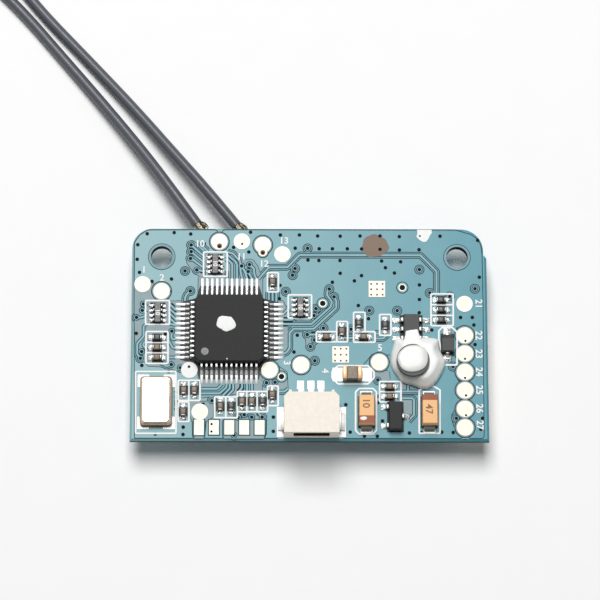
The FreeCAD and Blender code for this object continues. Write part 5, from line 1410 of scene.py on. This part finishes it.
# The paint dab on the microcontroller, with the reach and height of its rings
DAB_MIDDLE, DAB_REACH = (226.0, 323.4), (9.3, 8.0)
DAB_WAVES = ((0.07, 2, 0.6), (0.05, 5, 0.0))
DAB_RISE = ((1.0, 0.0), (0.97, 0.02), (0.85, 0.035), (0.5, 0.04))
PIN_MARK_PLACE, SPECK_PLACE = (204.8, 351.2), (227, 358.7)
TANTALUM_SPECK = [(360, 417.6), (362, 416.6), (365, 416.4), (367, 417.4), (366.6, 419.2), (363.6, 420.2),
                  (360.8, 419.4)]
# Each band's near and far edge in millimetres
BANDS = (("tantalum_band_1", "tantalum_case_1", -9.46, -8.72, TANTALUM_BAND),
         ("tantalum_band_2", "tantalum_case_2", -7.14, -6.56, TANTALUM_BAND),
         ("diode_band", "diode_body", -0.62, -0.3, DIODE_BAND))
TANTALUM_NUMBERS = (("10", (366, 403)), ("47", (429, 409)))
# How high marks, ink and the speck lie over a part's top, in millimetres
MARK_LIFT, INK_LIFT, SPECK_LIFT = 0.004, 0.006, 0.014
ARRAY_NUMBERS = ((-9.55, 7.2), (-15.32, 2.1), (-0.92, 2.7))
# A fillet's section: how far out from the terminal, how far up from the pad
FILLET = ((-0.04, 0.0), (0.42, 0.0), (0.168, 0.175), (-0.04, 0.5))


@dataclass
class PackageDetails:
    """The small marks and forms on the parts themselves."""

    layers: PrintedLayers
    band_skin: float = 0.008 * MM
    band_round: float = 0.05 * MM
    band_drop: float = 0.5 * MM
    fillet_inset: float = 0.08 * MM

    def build(self) -> None:
        """Make every small mark and form."""
        self.build_cap()
        self.build_controller_marks()
        for name, node, low, high, finish in BANDS:
            self.band(name, node, low * MM, high * MM, finish)
        self.build_numbers()
        self.build_fillets()

    def over(self, node: str, pixel: Pixel, lift: float) -> Vector:
        """Find the place that a pixel shows on top of a part, lifted by millimetres."""
        return VIEW.on_board(pixel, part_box(node)[1].z - BOARD_TOP) + Vector((0, 0, lift * MM))

    def build_cap(self) -> None:
        """Drop the glossy blob of silicone on top of the inductor."""
        middle = sum((Vector(point) for point in CAP_OUTLINE), Vector((0, 0))) / len(CAP_OUTLINE)
        rings = [[Vector((*(middle + (Vector(point) - middle) * reach), z)) * MM for point in CAP_OUTLINE]
                 for reach, z in CAP_RISE]
        host = linked("cap", lofted("silicone_cap_drop", [rings]))
        rounding = host.modifiers.new("round", "SUBSURF")
        rounding.levels = rounding.render_levels = 3
        mesh = applied(host)
        mesh.shade_smooth()
        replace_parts(new_piece("silicone_cap_piece", mesh, SILICONE_CAP), "silicone_cap")

    def build_controller_marks(self) -> None:
        """Put the paint dab, the pin mark and the speck on the microcontroller."""
        node = "microcontroller_body"
        outline = [self.over(node, pixel, 0) for pixel in blot(DAB_MIDDLE, DAB_REACH, DAB_WAVES, 32, 0.02)]
        middle = self.over(node, DAB_MIDDLE, 0)
        rings = [[middle + (point - middle) * reach + Vector((0, 0, lift * MM)) for point in outline]
                 for reach, lift in DAB_RISE]
        mesh = lofted("dab", [rings])
        mesh.shade_smooth()
        new_piece("controller_paint_dab", mesh, WHITE_PAINT)
        for name, pixel, radius, finish, sides in (
                ("controller_pin_mark", PIN_MARK_PLACE, 0.38, PIN_MARK, 40),
                ("controller_speck", SPECK_PLACE, 0.07, WHITE_PAINT, 12)):
            self.layers.lay_discs(name, [self.over(node, pixel, MARK_LIFT)], radius, finish, sides)

    def build_numbers(self) -> None:
        """Print plain numbers on the tantalum capacitors and the arrays, and leave a speck on one."""
        for index, (digits, pixel) in enumerate(TANTALUM_NUMBERS):
            place = self.over("tantalum_case_1", pixel, INK_LIFT)
            print_text(f"tantalum_number_{index + 1}", digits, place, -90, 1.0, TANTALUM_INK)
        speck = [self.over("tantalum_case_1", pixel, SPECK_LIFT) for pixel in TANTALUM_SPECK]
        self.layers.lay_areas("tantalum_speck", [speck], WHITE_PAINT)
        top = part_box("resistor_array_bodies")[1].z + 0.005 * MM
        for index, (x, y) in enumerate(ARRAY_NUMBERS):
            place = Vector((x * MM, y * MM, top))
            print_text(f"array_number_{index + 1}", "10", place, -90, 0.62, SILKSCREEN)

    def build_fillets(self) -> None:
        """Run solder up the ends of the tantalum capacitors."""
        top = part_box("component_pads")[1].z
        solids = []
        for number in (1, 2):
            low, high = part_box(f"tantalum_terminals_{number}")
            for side, start in ((-1, low.y), (1, high.y)):
                solids.append([[Vector((x, start + side * out * MM, top + up * MM)) for out, up in FILLET]
                               for x in (low.x + self.fillet_inset, high.x - self.fillet_inset)])
        new_piece("solder_fillets", lofted("solder_fillets", solids), SOLDER_FILLET)

    def band(self, name: str, node: str, low: float, high: float, finish: Finish) -> None:
        """Lay a thin band over the top and down the sides of a part.

        Args:
            name: The piece's name.
            node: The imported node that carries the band.
            low: Its nearer edge.
            high: Its farther edge.
            finish: The band's finish.
        """
        box_low, box_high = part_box(node)
        top, skin, soft = box_high.z, self.band_skin, self.band_round
        side = ((-skin, top - self.band_drop), (-skin, top - soft), (soft, top + skin))
        profile = [(box_low.x + inward, z) for inward, z in side]
        profile += [(box_high.x - inward, z) for inward, z in reversed(side)]
        count = len(profile)
        mesh = bpy.data.meshes.new(name)
        mesh.from_pydata([(x, y, z) for y in (low, high) for x, z in profile], [],
                         [(k, k + 1, k + 1 + count, k + count) for k in range(count - 1)])
        new_piece(name, mesh, finish)


# Finish and width of the softened edges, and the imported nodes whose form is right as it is
PLAIN_NODES = (
    (EPOXY, 0.06, "microcontroller_body"), (CRYSTAL_BASE, 0.05, "crystal_base"),
    (NICKEL_LID, 0.2, "crystal_lid"),
    (LEAD_TIN, 0.02, "microcontroller_leads", "regulator_leads", "converter_leads", "diode_leads",
     "servo_connector_contacts"),
    (PAD_SOLDER, 0.02, "microcontroller_pads", "component_pads"), (GOLD, 0.02, "underside_pads"),
    (CHIP_RESISTOR, 0.04, "resistor_array_bodies"), (CHIP_RESISTOR, 0.03, "resistor_chip_bodies"),
    (CHIP_TIN, 0.03, "tantalum_terminals_1", "tantalum_terminals_2"), (CHIP_TIN, 0.05, "chip_terminals"),
    (CHIP_TIN, 0.04, "resistor_array_terminals"), (CHIP_CAPACITOR, 0.04, "capacitor_chip_bodies"),
    (CHIP_CAPACITOR, 0.06, "bulk_capacitor_body"), (CAPACITOR_END, 0.06, "bulk_capacitor_ends"),
    (TANTALUM, 0.06, "tantalum_case_1", "tantalum_case_2"), (SMALL_EPOXY, 0.04, "regulator_body"),
    (GREY_EPOXY, 0.04, "converter_body", "diode_body"), (FERRITE, 0.05, "inductor_core"),
    (COPPER_WIRE, 0.0, "inductor_winding"), (SOLDER, 0.02, "inductor_terminals"),
    (MOUTH_NYLON, 0.06, "signal_connector_housing"), (NYLON, 0.06, "servo_connector_housing"),
    (CONTACT_TIN, 0.02, "signal_connector_contacts"), (SHIELD_TIN, 0.05, "shield_can"),
    (TIN_PLATE, 0.04, "signal_connector_tabs", "servo_connector_tabs"),
    (SMALL_EPOXY, 0.03, "radio_transceiver", "radio_front_end"), (NICKEL_LID, 0.03, "radio_crystal"),
    (CHIP_CAPACITOR, 0.03, "radio_chip_bodies"), (SOLDER, 0.03, "radio_chip_terminals"),
    (SOLDER, 0.12, "antenna_braid_solder", "antenna_wire_solder"),
)
SMALL_PAD_AREA = 0.9 * MM * MM
CONTACT_PAD_REACH = 1.6 * MM


def flux_and_reflection_small_joints(piece: Object) -> None:
    """Give the pads of the small parts their darker, uneven solder, whose dark patches are partly flux and
    partly painted reflection.

    Args:
        piece: The piece that holds all the solder pads.
    """
    near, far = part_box("signal_connector_housing")
    small = [(low, high) for low, high, _ in parts_of("component_pads")
             if (high.x - low.x) * (high.y - low.y) < SMALL_PAD_AREA
             and not (near.x < low.x < far.x and low.y < far.y + CONTACT_PAD_REACH)]
    piece.data.materials.append(FLUX_AND_REFLECTION_SOLDER.material())
    for face in piece.data.polygons:
        x, y, _ = face.center
        if any(low.x <= x <= high.x and low.y <= y <= high.y for low, high in small):
            face.material_index = 1


def dress_nodes() -> None:
    """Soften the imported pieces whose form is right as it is, and dress the nodes that stay in sight."""
    pieces = {node: rounded_copy(node, finish, bevel)
              for finish, bevel, *nodes in PLAIN_NODES for node in nodes}
    flux_and_reflection_small_joints(pieces["component_pads"])
    sculpted_copy("silicone_adhesive", SILICONE, 0.08, 45)
    finishes = {f"antenna_{number}_{part}": finish for number in (1, 2)
                for part, finish in (("braid", BRAID), ("core", DIELECTRIC), ("wire", COPPER_WIRE))}
    finishes["circuit_board"] = BoardFinish()
    for node, finish in finishes.items():
        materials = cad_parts[node].data.materials
        materials.clear()
        materials.append(finish.material())


def main() -> None:
    """Build the studio and dress the receiver."""
    logging.basicConfig(level=logging.INFO)
    Studio().build()
    AntennaLead(1, FIRST_ROUTE, Turn.LEFT).build()
    AntennaLead(2, SECOND_ROUTE, Turn.RIGHT).build()
    dress_nodes()
    layers = PrintedLayers()
    layers.build()
    PackageDetails(layers).build()


if __name__ == "__main__":
    main()
